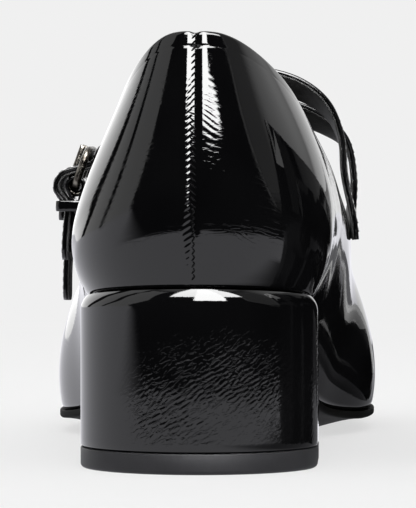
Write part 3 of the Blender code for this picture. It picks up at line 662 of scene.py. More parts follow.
@dataclass(frozen=True)
class PatentLeather(Finish):
    """Calf under a poured film of polyurethane lacquer.

    The film gives a mirror over near-black leather. The thin leather creases finely where it is drawn round
    the form, so mirrored edges break into small combs, and the film has a slow wave of a few mm.
    """

    crinkle_length: float = 4.5
    crinkle_width: float = 0.9
    crinkle_turn: float = 0.0
    crinkle_depth: float = 0.012
    ridge_cell: float = 0.0
    ridge_folds: float = 0.26
    patch: float = 17.0
    girth: float = 0.0
    ripple_pitch: float = 1.55
    ripple_reach: float = 6.0
    ripple_slant: float = 0.4
    ripple_from: float = 8.0
    ripple_end: float = 42.0
    pucker: float = 3.1
    pucker_at: float = 1.45
    pucker_reach: float = 0.674
    pucker_slant: float = 0.7
    calm_above: float = 0.0
    calm_fade: float = 12.0
    calm_side: tuple[float, float] = (-19.0, -11.0)
    calm_left: float = 0.12
    ripple_depth: float = 0.0
    film_wave: float = 2.6
    film_depth: float = 0.0009

    def dress(self, tree: NodeTree, shader: Node) -> None:
        """Lacquer as a coat over matt black leather, with creases in mm on the surface map.

        Args:
            tree: the finish's node tree.
            shader: its Principled BSDF.
        """
        place = add(tree, "ShaderNodeUVMap", uv_map=SURFACE_MAP).outputs["UV"]
        turned = add(
            tree,
            "ShaderNodeMapping",
            {"Vector": place},
            {
                "Rotation": (0.0, 0.0, math.radians(self.crinkle_turn)),
                "Scale": (self.crinkle_length, self.crinkle_width, 1.0),
            },
            vector_type="TEXTURE",
        )
        folds = add(
            tree,
            "ShaderNodeTexNoise",
            {"Vector": turned},
            {"Scale": 1.0, "Detail": 2.0, "Roughness": 0.45, "Distortion": 0.7},
            noise_dimensions="2D",
        )
        off = add(tree, "ShaderNodeMath", {0: folds}, {1: 0.5}, operation="SUBTRACT")
        away = add(tree, "ShaderNodeMath", {0: off}, operation="ABSOLUTE")
        valley = add(
            tree,
            "ShaderNodeMapRange",
            {"Value": away},
            {"From Min": 0.0, "From Max": 0.12},
            interpolation_type="SMOOTHSTEP",
        )
        mix = add(tree, "ShaderNodeMath", {0: folds, 2: valley}, {1: 0.8}, operation="MULTIPLY_ADD")
        if self.ridge_cell > 0.0:
            mix = self.ridges(tree, place, mix.outputs[0])
        patches = add(
            tree,
            "ShaderNodeTexNoise",
            {"Vector": place},
            {"Scale": 1.0 / self.patch, "Detail": 1.0},
            noise_dimensions="2D",
        )
        where = add(
            tree,
            "ShaderNodeMapRange",
            {"Value": patches},
            {"From Min": 0.36, "From Max": 0.64, "To Min": 0.25, "To Max": 1.0},
        )
        height = add(tree, "ShaderNodeMath", {0: mix, 1: where}, operation="MULTIPLY")
        if self.calm_above > 0.0:
            height = self.calmed(tree, height)
        normal = self.raised(tree, height, self.crinkle_depth)
        if self.ripple_depth > 0.0:
            ripples = self.seam_ripples(tree, place, patches.outputs[0])
            normal = self.raised(tree, ripples, self.ripple_depth, normal)
        body = add(tree, "ShaderNodeTexCoord").outputs["Object"]
        film = add(
            tree,
            "ShaderNodeTexNoise",
            {"Vector": body},
            {"Scale": 1.0 / (self.film_wave * MM), "Detail": 1.0, "Roughness": 0.3},
        )
        normal = self.raised(tree, film, self.film_depth, normal)
        self.tinted(tree, shader, "#0E0E0F", patches)
        tree.links.new(normal, shader.inputs["Normal"])
        tree.links.new(normal, shader.inputs["Coat Normal"])
        fill(shader, {"Roughness": 0.5, "IOR": 1.5, "Specular IOR Level": 0.0})
        fill(shader, {"Coat Weight": 1.0, "Coat Roughness": 0.03, "Coat IOR": 1.5})

    def ridges(self, tree: NodeTree, place: NodeSocket, folds: NodeSocket) -> Node:
        """Short even ridges, as a finger leaves, crowded and turning in each cell.

        Args:
            tree: the finish's node tree.
            place: the surface map, in mm.
            folds: the height of the finer folds.

        Returns:
            The node that gives the height of the ridges with some of the folds.
        """
        bands = add(
            tree,
            "ShaderNodeTexGabor",
            {"Vector": place},
            {
                "Scale": 1.0 / self.ridge_cell,
                "Frequency": self.ridge_cell / self.crinkle_width,
                "Anisotropy": 0.72,
                4: math.radians(self.crinkle_turn + 90.0),
            },
            gabor_type="2D",
        )
        return add(
            tree, "ShaderNodeMath", {0: folds, 2: bands}, {1: self.ridge_folds}, operation="MULTIPLY_ADD"
        )

    def kept(
        self,
        tree: NodeTree,
        height: Node,
        measure: Node | NodeSocket,
        span: tuple[float, float],
        left: float = 0.0,
    ) -> Node:
        """Keeps a height only on one side of a soft line.

        Args:
            tree: the finish's node tree.
            height: the node that gives the height.
            measure: what says which side a place is on.
            span: the measure where least of the height is left, and where all of it is.
            left: the least share.

        Returns:
            The node that gives the height that is left.
        """
        share = add(
            tree,
            "ShaderNodeMapRange",
            {"Value": measure},
            {"From Min": span[0], "From Max": span[1], "To Min": left, "To Max": 1.0},
            interpolation_type="SMOOTHSTEP",
        )
        return add(tree, "ShaderNodeMath", {0: height, 1: share}, operation="MULTIPLY")

    def calmed(self, tree: NodeTree, height: Node) -> Node:
        """Keeps the creases to the lower and medial part, where the cover was last pulled down."""
        split = add(tree, "ShaderNodeSeparateXYZ", {0: add(tree, "ShaderNodeTexCoord").outputs["Object"]})
        low = (self.calm_above * MM, (self.calm_above - self.calm_fade) * MM)
        side = (self.calm_side[0] * MM, self.calm_side[1] * MM)
        height = self.kept(tree, height, split.outputs[2], low, self.calm_left)
        return self.kept(tree, height, split.outputs[0], side, self.calm_left)

    def humped(self, tree: NodeTree, measure: Node, reach: float, power: float) -> Node:
        """A hump of height 1 where the measure is 0, gone past its reach in mm, squarer by its power."""
        share = add(tree, "ShaderNodeMath", {0: measure}, {1: reach}, operation="DIVIDE")
        share = add(tree, "ShaderNodeMath", {0: share}, {1: power}, operation="POWER")
        share = add(tree, "ShaderNodeMath", {0: share}, {1: -1.0}, operation="MULTIPLY")
        return add(tree, "ShaderNodeMath", {0: share}, operation="EXPONENT")

    def waves(
        self, tree: NodeTree, across: Node, down: NodeSocket, slant: float, drift: NodeSocket | None = None
    ) -> Node:
        """Even waves, one to a stitch.

        Args:
            tree: the finish's node tree.
            across: distance from the seam, in mm.
            down: distance along the seam, in mm.
            slant: how far a wave runs along the seam for each mm across.
            drift: slow noise that bends the waves.

        Returns:
            The node that gives their height, from -1 to 1.
        """
        leant = add(tree, "ShaderNodeMath", {0: across, 2: down}, {1: slant}, operation="MULTIPLY_ADD")
        turn = 2.0 * math.pi / self.ripple_pitch
        turns = add(tree, "ShaderNodeMath", {0: leant}, {1: turn}, operation="MULTIPLY")
        if drift is not None:
            turns = add(tree, "ShaderNodeMath", {0: drift, 2: turns}, {1: 26.0}, operation="MULTIPLY_ADD")
        return add(tree, "ShaderNodeMath", {0: turns}, operation="SINE")

    def seam_ripples(self, tree: NodeTree, place: NodeSocket, drift: NodeSocket) -> Node:
        """Fine slanted ripples that each stitch of the back seam draws into the leather beside it.

        They start some way under the topline, run down away from the seam and are stronger medially. Right
        beside the seam, on its lateral side, the stitches pucker the edge itself.

        Args:
            tree: the finish's node tree.
            place: the surface map, in mm.
            drift: slow noise that bends the ripples.

        Returns:
            The node that gives the ripples' height.
        """
        split = add(tree, "ShaderNodeSeparateXYZ", {0: place})
        down = split.outputs[1]
        rest = add(tree, "ShaderNodeMath", {1: split}, {0: self.girth}, operation="SUBTRACT")
        near = add(tree, "ShaderNodeMath", {0: split, 1: rest}, operation="MINIMUM")
        share = self.humped(tree, near, self.ripple_reach, 4.0)
        share = self.kept(tree, share, down, (-self.ripple_end, 10.0 - self.ripple_end))
        share = self.kept(tree, share, split, (0.55 * self.girth, 0.45 * self.girth), 0.35)
        share = self.kept(tree, share, near, (1.6, 4.2), 0.12)
        wave = self.waves(tree, near, down, self.ripple_slant, drift)
        drawn = add(tree, "ShaderNodeMath", {0: wave, 1: share}, operation="MULTIPLY")
        off = add(tree, "ShaderNodeMath", {0: rest}, {1: self.pucker_at}, operation="SUBTRACT")
        beside = self.humped(tree, off, self.pucker_reach, 2.0)
        swell = self.waves(tree, rest, down, self.pucker_slant)
        swell = add(tree, "ShaderNodeMath", {0: swell, 1: beside}, operation="MULTIPLY")
        both = add(tree, "ShaderNodeMath", {0: swell, 2: drawn}, {1: self.pucker}, operation="MULTIPLY_ADD")
        return self.kept(tree, both, down, (-self.ripple_from, -self.ripple_from - 8.0))


@dataclass(frozen=True)
class LiningLeather(Finish):
    """Drum-dyed pigskin lining and sock, buffed: matt, with grouped pores and a soft change of shade."""

    light: str = "#35322F"
    pore: float = 0.9
    depth: float = 0.05

    def dress(self, tree: NodeTree, shader: Node) -> None:
        """Pores from cells, shade from slow noise.

        Args:
            tree: the finish's node tree.
            shader: its Principled BSDF.
        """
        body = add(tree, "ShaderNodeTexCoord").outputs["Object"]
        pores = add(
            tree,
            "ShaderNodeTexVoronoi",
            {"Vector": body},
            {"Scale": 1.0 / (self.pore * MM), "Randomness": 1.0},
            feature="F1",
        )
        shade = add(
            tree, "ShaderNodeTexNoise", {"Vector": body}, {"Scale": 90.0, "Detail": 5.0, "Roughness": 0.6}
        )
        share = add(tree, "ShaderNodeMapRange", {"Value": shade}, {"From Min": 0.35, "From Max": 0.65})
        self.tinted(tree, shader, self.light, share)
        tree.links.new(self.raised(tree, pores.outputs["Distance"], self.depth), shader.inputs["Normal"])
        fill(shader, {"Roughness": 0.62, "IOR": 1.45, "Specular IOR Level": 0.35})


@dataclass(frozen=True)
class MouldedRubber(Finish):
    """Moulded rubber of the sole and the top piece: matt from a spark-eroded mould, with a fine even grit."""

    light: str
    grit: float = 0.7
    depth: float = 0.03
    roughness: float = 0.6
    gloss: float = 0.2

    def dress(self, tree: NodeTree, shader: Node) -> None:
        """Grit from noise at its grain size, drawn a little coarse so that it shows, and scuffed shade.

        Args:
            tree: the finish's node tree.
            shader: its Principled BSDF.
        """
        body = add(tree, "ShaderNodeTexCoord").outputs["Object"]
        grit = add(
            tree,
            "ShaderNodeTexNoise",
            {"Vector": body},
            {"Scale": 1.0 / (self.grit * MM), "Detail": 3.0, "Roughness": 0.6},
        )
        cloud = add(
            tree, "ShaderNodeTexNoise", {"Vector": body}, {"Scale": 60.0, "Detail": 6.0, "Roughness": 0.65}
        )
        share = add(tree, "ShaderNodeMapRange", {"Value": cloud}, {"From Min": 0.35, "From Max": 0.7})
        self.tinted(tree, shader, self.light, share)
        rough = add(
            tree,
            "ShaderNodeMapRange",
            {"Value": cloud},
            {"To Min": self.roughness - 0.08, "To Max": self.roughness + 0.1},
        )
        tree.links.new(rough.outputs[0], shader.inputs["Roughness"])
        tree.links.new(self.raised(tree, grit, self.depth), shader.inputs["Normal"])
        fill(shader, {"IOR": 1.5, "Specular IOR Level": self.gloss})


@dataclass(frozen=True)
class Gunmetal(Finish):
    """Die-cast zinc plated black nickel and wiped back: dark with warm rubbed places, satin and uneven."""

    worn: str = "#8C8880"

    def dress(self, tree: NodeTree, shader: Node) -> None:
        """Wear and cloudiness from noise. A metal keeps the default IOR.

        Args:
            tree: the finish's node tree.
            shader: its Principled BSDF.
        """
        body = add(tree, "ShaderNodeTexCoord").outputs["Object"]
        cloud = add(
            tree, "ShaderNodeTexNoise", {"Vector": body}, {"Scale": 420.0, "Detail": 4.0, "Roughness": 0.6}
        )
        share = add(tree, "ShaderNodeMapRange", {"Value": cloud}, {"From Min": 0.42, "From Max": 0.7})
        self.tinted(tree, shader, self.worn, share)
        rough = add(
            tree,
            "ShaderNodeMapRange",
            {"Value": cloud},
            {"From Min": 0.3, "From Max": 0.7, "To Min": 0.2, "To Max": 0.36},
        )
        tree.links.new(rough.outputs[0], shader.inputs["Roughness"])
        tree.links.new(self.raised(tree, cloud, 0.04), shader.inputs["Normal"])
        fill(shader, {"Metallic": 1.0})


@dataclass(frozen=True)
class SewingThread(Finish):
    """Bonded polyester thread: black, with a low waxy sheen over its twist."""

    twist: float = 0.32

    def dress(self, tree: NodeTree, shader: Node) -> None:
        """Slanted bands stand for the twist, drawn a little wide so that they show."""
        body = add(tree, "ShaderNodeTexCoord").outputs["Object"]
        twist = add(
            tree,
            "ShaderNodeTexWave",
            {"Vector": body},
            {"Scale": 1.0 / (self.twist * MM) / 20.0, "Distortion": 0.4},
            bands_direction="DIAGONAL",
        )
        self.tinted(tree, shader, "#131314", twist.outputs["Fac"])
        tree.links.new(self.raised(tree, twist.outputs["Fac"], 0.03), shader.inputs["Normal"])
        fill(shader, {"Roughness": 0.6, "Specular IOR Level": 0.03})


@dataclass(frozen=True)
class EdgeInk(Finish):
    """Acrylic ink rolled on a cut leather edge: black, half gloss and a little lumpy."""

    def dress(self, tree: NodeTree, shader: Node) -> None:
        """Lumps from noise."""
        body = add(tree, "ShaderNodeTexCoord").outputs["Object"]
        lumps = add(tree, "ShaderNodeTexNoise", {"Vector": body}, {"Scale": 900.0, "Detail": 2.0})
        self.tinted(tree, shader, "#1B1A19", lumps)
        tree.links.new(self.raised(tree, lumps, 0.06), shader.inputs["Normal"])
        fill(shader, {"Roughness": 0.3})


PATENT = PatentLeather(
    "patent leather, drawn over the last",
    "#060607",
    crinkle_length=5.0,
    crinkle_width=1.1,
    crinkle_depth=0.004,
    ripple_depth=0.012,
)
HEEL_PATENT = PatentLeather(
    "patent leather, wrapped round the heel",
    "#060607",
    crinkle_length=2.6,
    crinkle_width=1.15,
    crinkle_turn=38.0,
    crinkle_depth=0.038,
    ridge_cell=3.4,
    calm_above=38.0,
    patch=24.0,
)
STRAP_PATENT = PatentLeather(
    "patent leather, strap and binding",
    "#060607",
    crinkle_length=1.6,
    crinkle_width=2.4,
    crinkle_depth=0.006,
    patch=9.0,
)
LINING = LiningLeather("buffed pigskin lining", "#1E1E1E", light="#3A3A3A")
SOCK = LiningLeather("buffed leather sock", "#1A1917", light="#2B2826", pore=1.1)
SOLE_RESIN = MouldedRubber("moulded resin rubber sole", "#0B0B0B", light="#131312", gloss=0.02)
TOP_RUBBER = MouldedRubber("moulded rubber top piece", "#1F1F21", light="#29292B", grit=0.5, roughness=0.55)
GUNMETAL = Gunmetal("plated gunmetal", "#3A3632")
THREAD = SewingThread("bonded polyester thread", "#0A0A0B")
EDGE_INK = EdgeInk("edge ink", "#0D0D0D")


# ---------------- pieces


def object_of(name: str, form: BMesh) -> bpy.types.Object:
    """Makes an object of a form in mm, which is used up, and puts it in the scene."""
    bmesh.ops.scale(form, vec=(MM, MM, MM), verts=form.verts)
    mesh = bpy.data.meshes.new(name)
    form.to_mesh(mesh)
    form.free()
    made = bpy.data.objects.new(name, mesh)
    bpy.context.scene.collection.objects.link(made)
    return made


def deliver(
    name: str,
    form: BMesh,
    finish: Finish,
    nodes: Sequence[str] = (),
    wall: float = 0.0,
    sharp: float = SHARP,
    outward: bool = True,
) -> bpy.types.Object:
    """Makes a piece of a form in mm and hangs it on the shoe.

    Args:
        name: the piece's name.
        form: its shape. It is used up.
        finish: what it is made of.
        nodes: CAD nodes that it stands for.
        wall: thickness given inward to an open sheet, in mm.
        sharp: edges that turn more than this many degrees are shown sharp.
        outward: turns every face outward first, which a closed form needs.

    Returns:
        The piece.
    """
    if outward:
        bmesh.ops.recalc_face_normals(form, faces=form.faces)
    piece = object_of(name, form)
    mesh = piece.data
    mesh.materials.append(finish.material())
    mesh.shade_smooth()
    mesh.set_sharp_from_angle(angle=math.radians(sharp))
    if wall > 0.0:
        skin = piece.modifiers.new("leather thickness", "SOLIDIFY")
        skin.thickness = wall * MM
        skin.offset = -1.0
        skin.use_even_offset = True
    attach(piece, "root")
    if nodes:
        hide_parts(*nodes)
    LOG.info("%s: %d faces, %s", name, len(mesh.polygons), finish.name)
    return piece


def punch(piece: bpy.types.Object, holes: Sequence[Hole]) -> None:
    """Cuts round holes through a piece.

    Args:
        piece: the piece, whose mesh is changed.
        holes: the middle, the direction, the radius and the length of each, in mm.
    """
    form = bmesh.new()
    for middle, axis, radius, length in holes:
        turn = axis.to_track_quat("Z", "Y").to_matrix().to_4x4()
        bmesh.ops.create_cone(
            form,
            cap_ends=True,
            segments=20,
            radius1=radius,
            radius2=radius,
            depth=length,
            matrix=Matrix.Translation(middle) @ turn,
        )
    tool = object_of("punch", form)
    cut = piece.modifiers.new("punch", "BOOLEAN")
    cut.operation, cut.solver, cut.object = "DIFFERENCE", "EXACT", tool
    bpy.context.view_layer.update()
    punched = bpy.data.meshes.new_from_object(piece.evaluated_get(bpy.context.evaluated_depsgraph_get()))
    piece.modifiers.remove(cut)
    old, piece.data = piece.data, punched
    bpy.data.meshes.remove(old)
    punched.name = piece.name
    bpy.data.meshes.remove(tool.data)
    punched.set_sharp_from_angle(angle=math.radians(SHARP))


@dataclass(frozen=True)
class Stitching:
    """One kind of stitch, in mm: thread thickness, visible length and pitch."""

    thread: float = 0.42
    length: float = 1.9
    pitch: float = 2.5

    def stitch(
        self, form: BMesh, middle: Vector, along: Vector, out: Vector, length: float | None = None
    ) -> None:
        """Adds one stitch to a form: a short rounded bar that lies half in the leather.

        Args:
            form: the form that takes it.
            middle: its middle.
            along: the way it runs.
            out: the way the leather faces.
            length: its length in mm, where it isn't the row's.
        """
        along = along.normalized()
        out = (out - along * out.dot(along)).normalized()
        turn = Matrix((along, out.cross(along), out)).transposed().to_4x4()
        size = Matrix.Diagonal((length or self.length, self.thread, self.thread * 0.9, 1.0))
        bmesh.ops.create_uvsphere(
            form,
            u_segments=6,
            v_segments=5,
            radius=0.5,
            matrix=Matrix.Translation(middle) @ turn @ size @ Matrix.Rotation(math.pi / 2.0, 4, "Y"),
        )

    def row(self, form: BMesh, run: Run, across: float, out: float, start: float, end: float) -> None:
        """Sews a row along a path, at a distance to its side and out from it."""
        for distance in np.arange(start + self.pitch / 2.0, end, self.pitch):
            middle, along, outward = run.at(distance, across, out)
            self.stitch(form, middle, along, outward)

    def cross(self, form: BMesh, run: Run, at: Sequence[float], length: float | None = None) -> None:
        """Adds one stitch that lies across a path, at distances along, across and out from it."""
        middle, along, outward = run.at(*at)
        self.stitch(form, middle, outward.cross(along), outward, length)


@dataclass(frozen=True)
class Crease:
    """A soft fold: from one place on the surface to another, with its width and depth in mm.

    A place is a share of the way round from the back seam, and mm down from the topline.
    """

    start: tuple[float, float]
    end: tuple[float, float]
    width: float
    depth: float

    def relief(self, around: Array, down: Array, girth: float) -> Array:
        """A trough with a low ridge on each side, which dies away at both ends.

        Args:
            around: places round the shoe, in mm.
            down: how far they are below the topline, in mm.
            girth: the way round the topline, in mm.

        Returns:
            How far the leather stands out there, in mm.
        """
        first = np.array([self.start[0] * girth, self.start[1]])
        last = np.array([self.end[0] * girth, self.end[1]])
        length = float(np.linalg.norm(last - first))
        axis = (last - first) / length
        x, y = around - first[0], down - first[1]
        along = x * axis[0] + y * axis[1]
        bow = 0.06 * length * (1.0 - (2.0 * along / length - 1.0) ** 2)
        side = x * axis[1] - y * axis[0] - bow
        fade = smoothstep(-0.1, 0.35, along / length) * smoothstep(1.15, 0.6, along / length)
        ridges = bump(side - 1.9 * self.width, self.width) + bump(side + 1.9 * self.width, self.width)
        return self.depth * fade * (0.45 * ridges - bump(side, self.width))


@dataclass
class Upper:
    """The closed upper: one patent skin folded over the topline, its lining, its seam and its stitches."""

    skin: float = 0.55
    lining: float = 0.65
    fold: float = 1.5
    turned_down: float = 3.0
    fold_end: float = 3.9
    groove: float = 0.26
    groove_reach: float = 2.8
    bead: float = 0.04
    margin: float = 7.0
    feather: float = 1.5
    first_share: float = 0.03
    seat_roll: float = 0.9
    rows: int = 46
    seam_groove: float = 0.34
    seam_width: float = 1.1
    welt: float = 0.08
    welt_at: float = 2.5
    notch: float = 0.3
    whip_start: float = 1.6
    whip_turn: tuple[float, float] = (17.0, 22.0)
    whip_end: float = 43.0
    whip_aside: float = 0.4
    zigzag_aside: float = 0.25
    zigzag_half: float = 0.39
    zigzag_length: float = 1.35
    back_end: float = 40.0
    creases: tuple[Crease, ...] = (
        Crease(start=(0.400, 7.0), end=(0.352, 27.0), width=3.2, depth=0.27),
        Crease(start=(0.424, 9.0), end=(0.384, 34.0), width=2.8, depth=0.20),
        Crease(start=(0.598, 7.0), end=(0.648, 26.0), width=3.2, depth=0.27),
        Crease(start=(0.576, 9.0), end=(0.616, 33.0), width=2.8, depth=0.20),
        Crease(start=(0.205, 9.0), end=(0.262, 17.0), width=2.8, depth=0.16),
        Crease(start=(0.150, 16.0), end=(0.192, 30.0), width=3.0, depth=0.14),
        Crease(start=(0.812, 10.0), end=(0.762, 18.0), width=2.8, depth=0.16),
        Crease(start=(0.870, 15.0), end=(0.828, 31.0), width=3.0, depth=0.12),
        Crease(start=(0.052, 36.0), end=(0.094, 41.0), width=2.6, depth=0.10),
        Crease(start=(0.952, 33.0), end=(0.905, 40.0), width=2.6, depth=0.10),
    )
    whip: Stitching = Stitching(thread=0.5, length=2.4, pitch=1.55)

    def __post_init__(self) -> None:
        """Lays out the columns, close together at the back seam and even round the rest."""
        near = np.array([0.0, 0.35, 0.7, 1.05, 1.4, 1.8, 2.3, 2.9, 3.6, 4.5, 5.6, 7.0]) / 560.0
        self.at = np.concatenate([near, np.linspace(near[-1], 1.0 - near[-1], 300)[1:-1], 1.0 - near[::-1]])
        self.last = Last(self.at)
        self.wall = np.array([self.last.wall(share) for share in np.linspace(0.0, 1.0, 90)])
        self.height = run_of(self.wall[::-1])[::-1]
        self.girth = float(run_of(self.last.wall(0.5))[-1])
        self.around = self.at * self.girth

    def level(self, down: Array | float) -> Array:
        """Ring of points on the wall at a distance below the topline, measured along the wall."""
        down = np.broadcast_to(down, self.at.shape)
        wall, height = self.wall[::-1], self.height[::-1]
        return np.array([read_at(here, height[:, i], wall[:, i]) for i, here in enumerate(down)])

    def depths(self) -> Array:
        """Distances below the topline of the rows from the feather edge up, for each column."""
        near = np.array([0.9, 1.3, 1.8, 2.4, 2.9, 3.25, 3.5, 3.7, 3.9, 4.1, 4.3, 4.6, 5.0, 5.6, 6.4, 7.6])
        share = self.first_share * (len(self.wall) - 1)
        low = read_at(share, np.arange(len(self.wall)), self.height)
        shares = np.linspace(1.0, 0.0, self.rows)[:-1, None]
        above = np.repeat(near[::-1, None], len(low), axis=1)
        return np.vstack([near[-1] + (low - near[-1]) * shares, above])

    def relief(self, points: Array, down: Array) -> Array:
        """How far the drawn leather stands out from the last.

        Args:
            points: places on the wall.
            down: how far they are below the topline, in mm.

        Returns:
            The distance, in mm.
        """
        edge = self.bead * np.sin(np.pi * np.clip(down / self.fold_end, 0.0, 1.0))
        back = points[..., 1] < self.back_end
        fold_line = self.groove * (0.06 + 0.94 * bump(points[..., 0], self.groove_reach) * back)
        edge = edge - fold_line * bump(down - self.fold_end, 0.3)
        rise = np.clip(down / 60.0, 0.0, 1.0)
        reach = 1.0 - 0.5 * smoothstep(0.72, 0.86, rise)
        seam = -self.seam_groove * bump(points[..., 0] / reach, self.seam_width)
        seam += self.welt * bump((np.abs(points[..., 0]) - self.welt_at) / reach, 0.9)
        total = edge + seam * back
        for crease in self.creases:
            total = total + crease.relief(np.broadcast_to(self.around, down.shape), down, self.girth)
        return total

    def outer(self) -> tuple[Array, Array]:
        """Points of the drawn wall from the feather edge to the fold, and how far down each one is."""
        down = self.depths()
        points = np.array([self.level(row) for row in down])
        normals = normals_of(points)
        points = points + normals * self.relief(points, down)[..., None]
        near_seam = bump(points[..., 0], 0.8) * (points[..., 1] < self.back_end)
        points[..., 2] -= self.notch * near_seam * bump(down, 2.2)
        return points, down

    def make_skin(self) -> None:
        """The patent skin: under the foot, round the feather edge, up the wall and over the topline."""
        wall, down = self.outer()
        start = wall[0]
        corner = self.last.margin(0.0)
        corner[:, 2] -= self.seat_roll * smoothstep(34.0, 20.0, corner[:, 1])
        under = self.last.margin(self.feather)
        rows = [self.last.margin(self.margin), self.last.margin((self.margin + self.feather) / 2.0)]
        for t in np.linspace(0.0, 1.0, 7)[:-1]:
            rows.append((1 - t) ** 2 * under + 2 * (1 - t) * t * corner + t**2 * start)
        normals = normals_of(wall)[-1]
        upward = unit(wall[-1] - wall[-2])
        radius = self.fold / 2.0
        middle = wall[-1] - normals * radius
        first, end = len(rows), len(rows) + len(wall)
        rows += list(wall)
        for a in np.radians(np.linspace(0.0, 180.0, 9))[1:]:
            rows.append(middle + radius * (normals * math.cos(a) + upward * math.sin(a)))
        inner = rows[-1]
        for share in (0.35, 0.7, 1.0):
            rows.append(inner - upward * self.turned_down * share)
        points = np.array(rows)
        run = run_of(points)
        up = run - run[end - 1] - down[-1]
        up[first:end] = -down
        form = Sheet(points, around=self.around, up=up).form()
        finish = replace(PATENT, girth=self.girth)
        deliver("upper_skin", form, finish, ("upper",), self.skin, outward=False)

    def make_lining(self) -> None:
        """The lining, glued inside the skin and cut off just under the fold."""
        down = self.depths()
        keep = down[:, 0] > 1.6
        points = np.array([self.level(row) for row in down[keep]])
        normals = normals_of(points)
        points = points - normals * (self.fold + 0.08)
        foot = self.last.margin(self.feather + 2.3, lift=1.2)
        under = self.last.margin(self.margin, lift=1.0)
        points = np.concatenate([under[None], foot[None], points])
        form = Sheet(points, around=self.around).form()
        deliver("quarter_lining", form, LINING, wall=self.lining, outward=False)

    def make_stitches(self) -> None:
        """The whipped back seam, which closes to a zigzag near the heel."""
        points, down = self.outer()
        form = bmesh.new()
        seam, out = points[:, 0], normals_of(points)[:, 0]
        order = np.argsort(down[:, 0])
        depth = down[order, 0]
        for here in np.arange(self.whip_start, depth[-1] - 1.0, self.whip.pitch):
            middle, outward = (Vector(read_at(here, depth, rows[order])) for rows in (seam, out))
            if here < self.whip_end:
                rise = 1.1 - 2.0 * float(smoothstep(*self.whip_turn, here))
                beside = middle + outward * 0.06 - Vector((self.whip_aside, 0.0, 0.0))
                self.whip.stitch(form, beside, Vector((1.0, 0.0, rise)), outward)
                continue
            for side in (-1.0, 1.0):
                beside = middle + outward * 0.04 - Vector((self.zigzag_aside, 0.0, self.zigzag_half * side))
                axis = Vector((0.75 * side, 0.0, 1.0))
                self.whip.stitch(form, beside, axis, outward, self.zigzag_length)
        deliver("back_seam_stitches", form, THREAD)

    def build(self) -> None:
        """Makes the whole upper."""
        self.make_skin()
        self.make_lining()
        self.make_stitches()


@dataclass
class Plate:
    """A plate that follows the foot in plan, such as the sole or the sock, in mm."""

    columns: int = 260
    edge_round: float = 0.7
    top_round: float = 0.3

    def __post_init__(self) -> None:
        """Reads the last evenly round the shoe, with the same place first and last."""
        self.last = Last(np.linspace(0.0, 1.0, self.columns + 1))

    def inset(self) -> Array:
        """How far the plate's edge lies inside the feather line."""
        return np.zeros(self.columns + 1)

    def under(self, y: Array, side: Array | float) -> Array:
        """Height of the plate's underside."""
        return SOLE.rolled(y, np.asarray(side, float))

    def thick(self, y: Array) -> Array:
        """Thickness of the plate."""
        return SOLE.thick(y)

    def crown(self, y: Array, side: Array | float) -> Array:
        """How far the top face stands over a plate of even thickness."""
        return np.zeros_like(y)

    def ring(self, extra: float, share: float, lift: Array | float, over: bool) -> Array:
        """One ring of the plate.

        Args:
            extra: distance inside the plate's own edge.
            share: 0 at the edge and 1 on the middle line, where both sides meet.
            lift: height over the underside, or under the top face where over is set.
            over: measures from the top face.

        Returns:
            The ring's points.
        """
        line = self.last.outline(self.inset() + extra)
        line = line * (1.0 - share / 2.0) + line[::-1] * share / 2.0
        y = line[:, 1]
        z = self.under(y, 1.0 - share)
        if over:
            z = z + self.thick(y) + self.crown(y, 1.0 - share) - lift
        else:
            z = z + lift
        return np.column_stack([line, z])

    def form(self) -> BMesh:
        """The plate, from the middle of its underside round its edge to the middle of its top.

        Returns:
            The form, in mm.
        """
        thin = 0.45 * self.thick(self.last.outline(self.inset())[:, 1])
        low, high = np.minimum(self.edge_round, thin), np.minimum(self.top_round, thin)
        inward = (1.0, 0.88, 0.76, 0.64, 0.52, 0.41, 0.31, 0.22, 0.14, 0.08, 0.04)
        rings = [self.ring(self.edge_round, share, 0.0, over=False) for share in inward]
        for x, z in rounding(0.0, 90.0, 5):
            rings.append(self.ring(self.edge_round * x, 0.0, low * z, over=False))
        for x, z in rounding(90.0, 0.0, 4):
            rings.append(self.ring(self.top_round * x, 0.0, high * z, over=True))
        rings += [self.ring(self.top_round, share, 0.0, over=True) for share in inward[::-1]]
        return Sheet(np.array(rings)).form()


@dataclass
class Outsole(Plate):
    """The resin sole with its rounded tread, standing a little proud of the upper in front of the heel."""

    proud: float = 0.7
    seat_inset: float = 2.4

    def inset(self) -> Array:
        """Proud of the feather line in front of the heel and inside it over the seat."""
        y = self.last.foot[:, 1]
        return -self.proud + (self.seat_inset + self.proud) * smoothstep(44.0, 28.0, y)

    def build(self) -> None:
        """Makes the sole."""
        deliver("sole_unit", self.form(), SOLE_RESIN, ("outsole",))


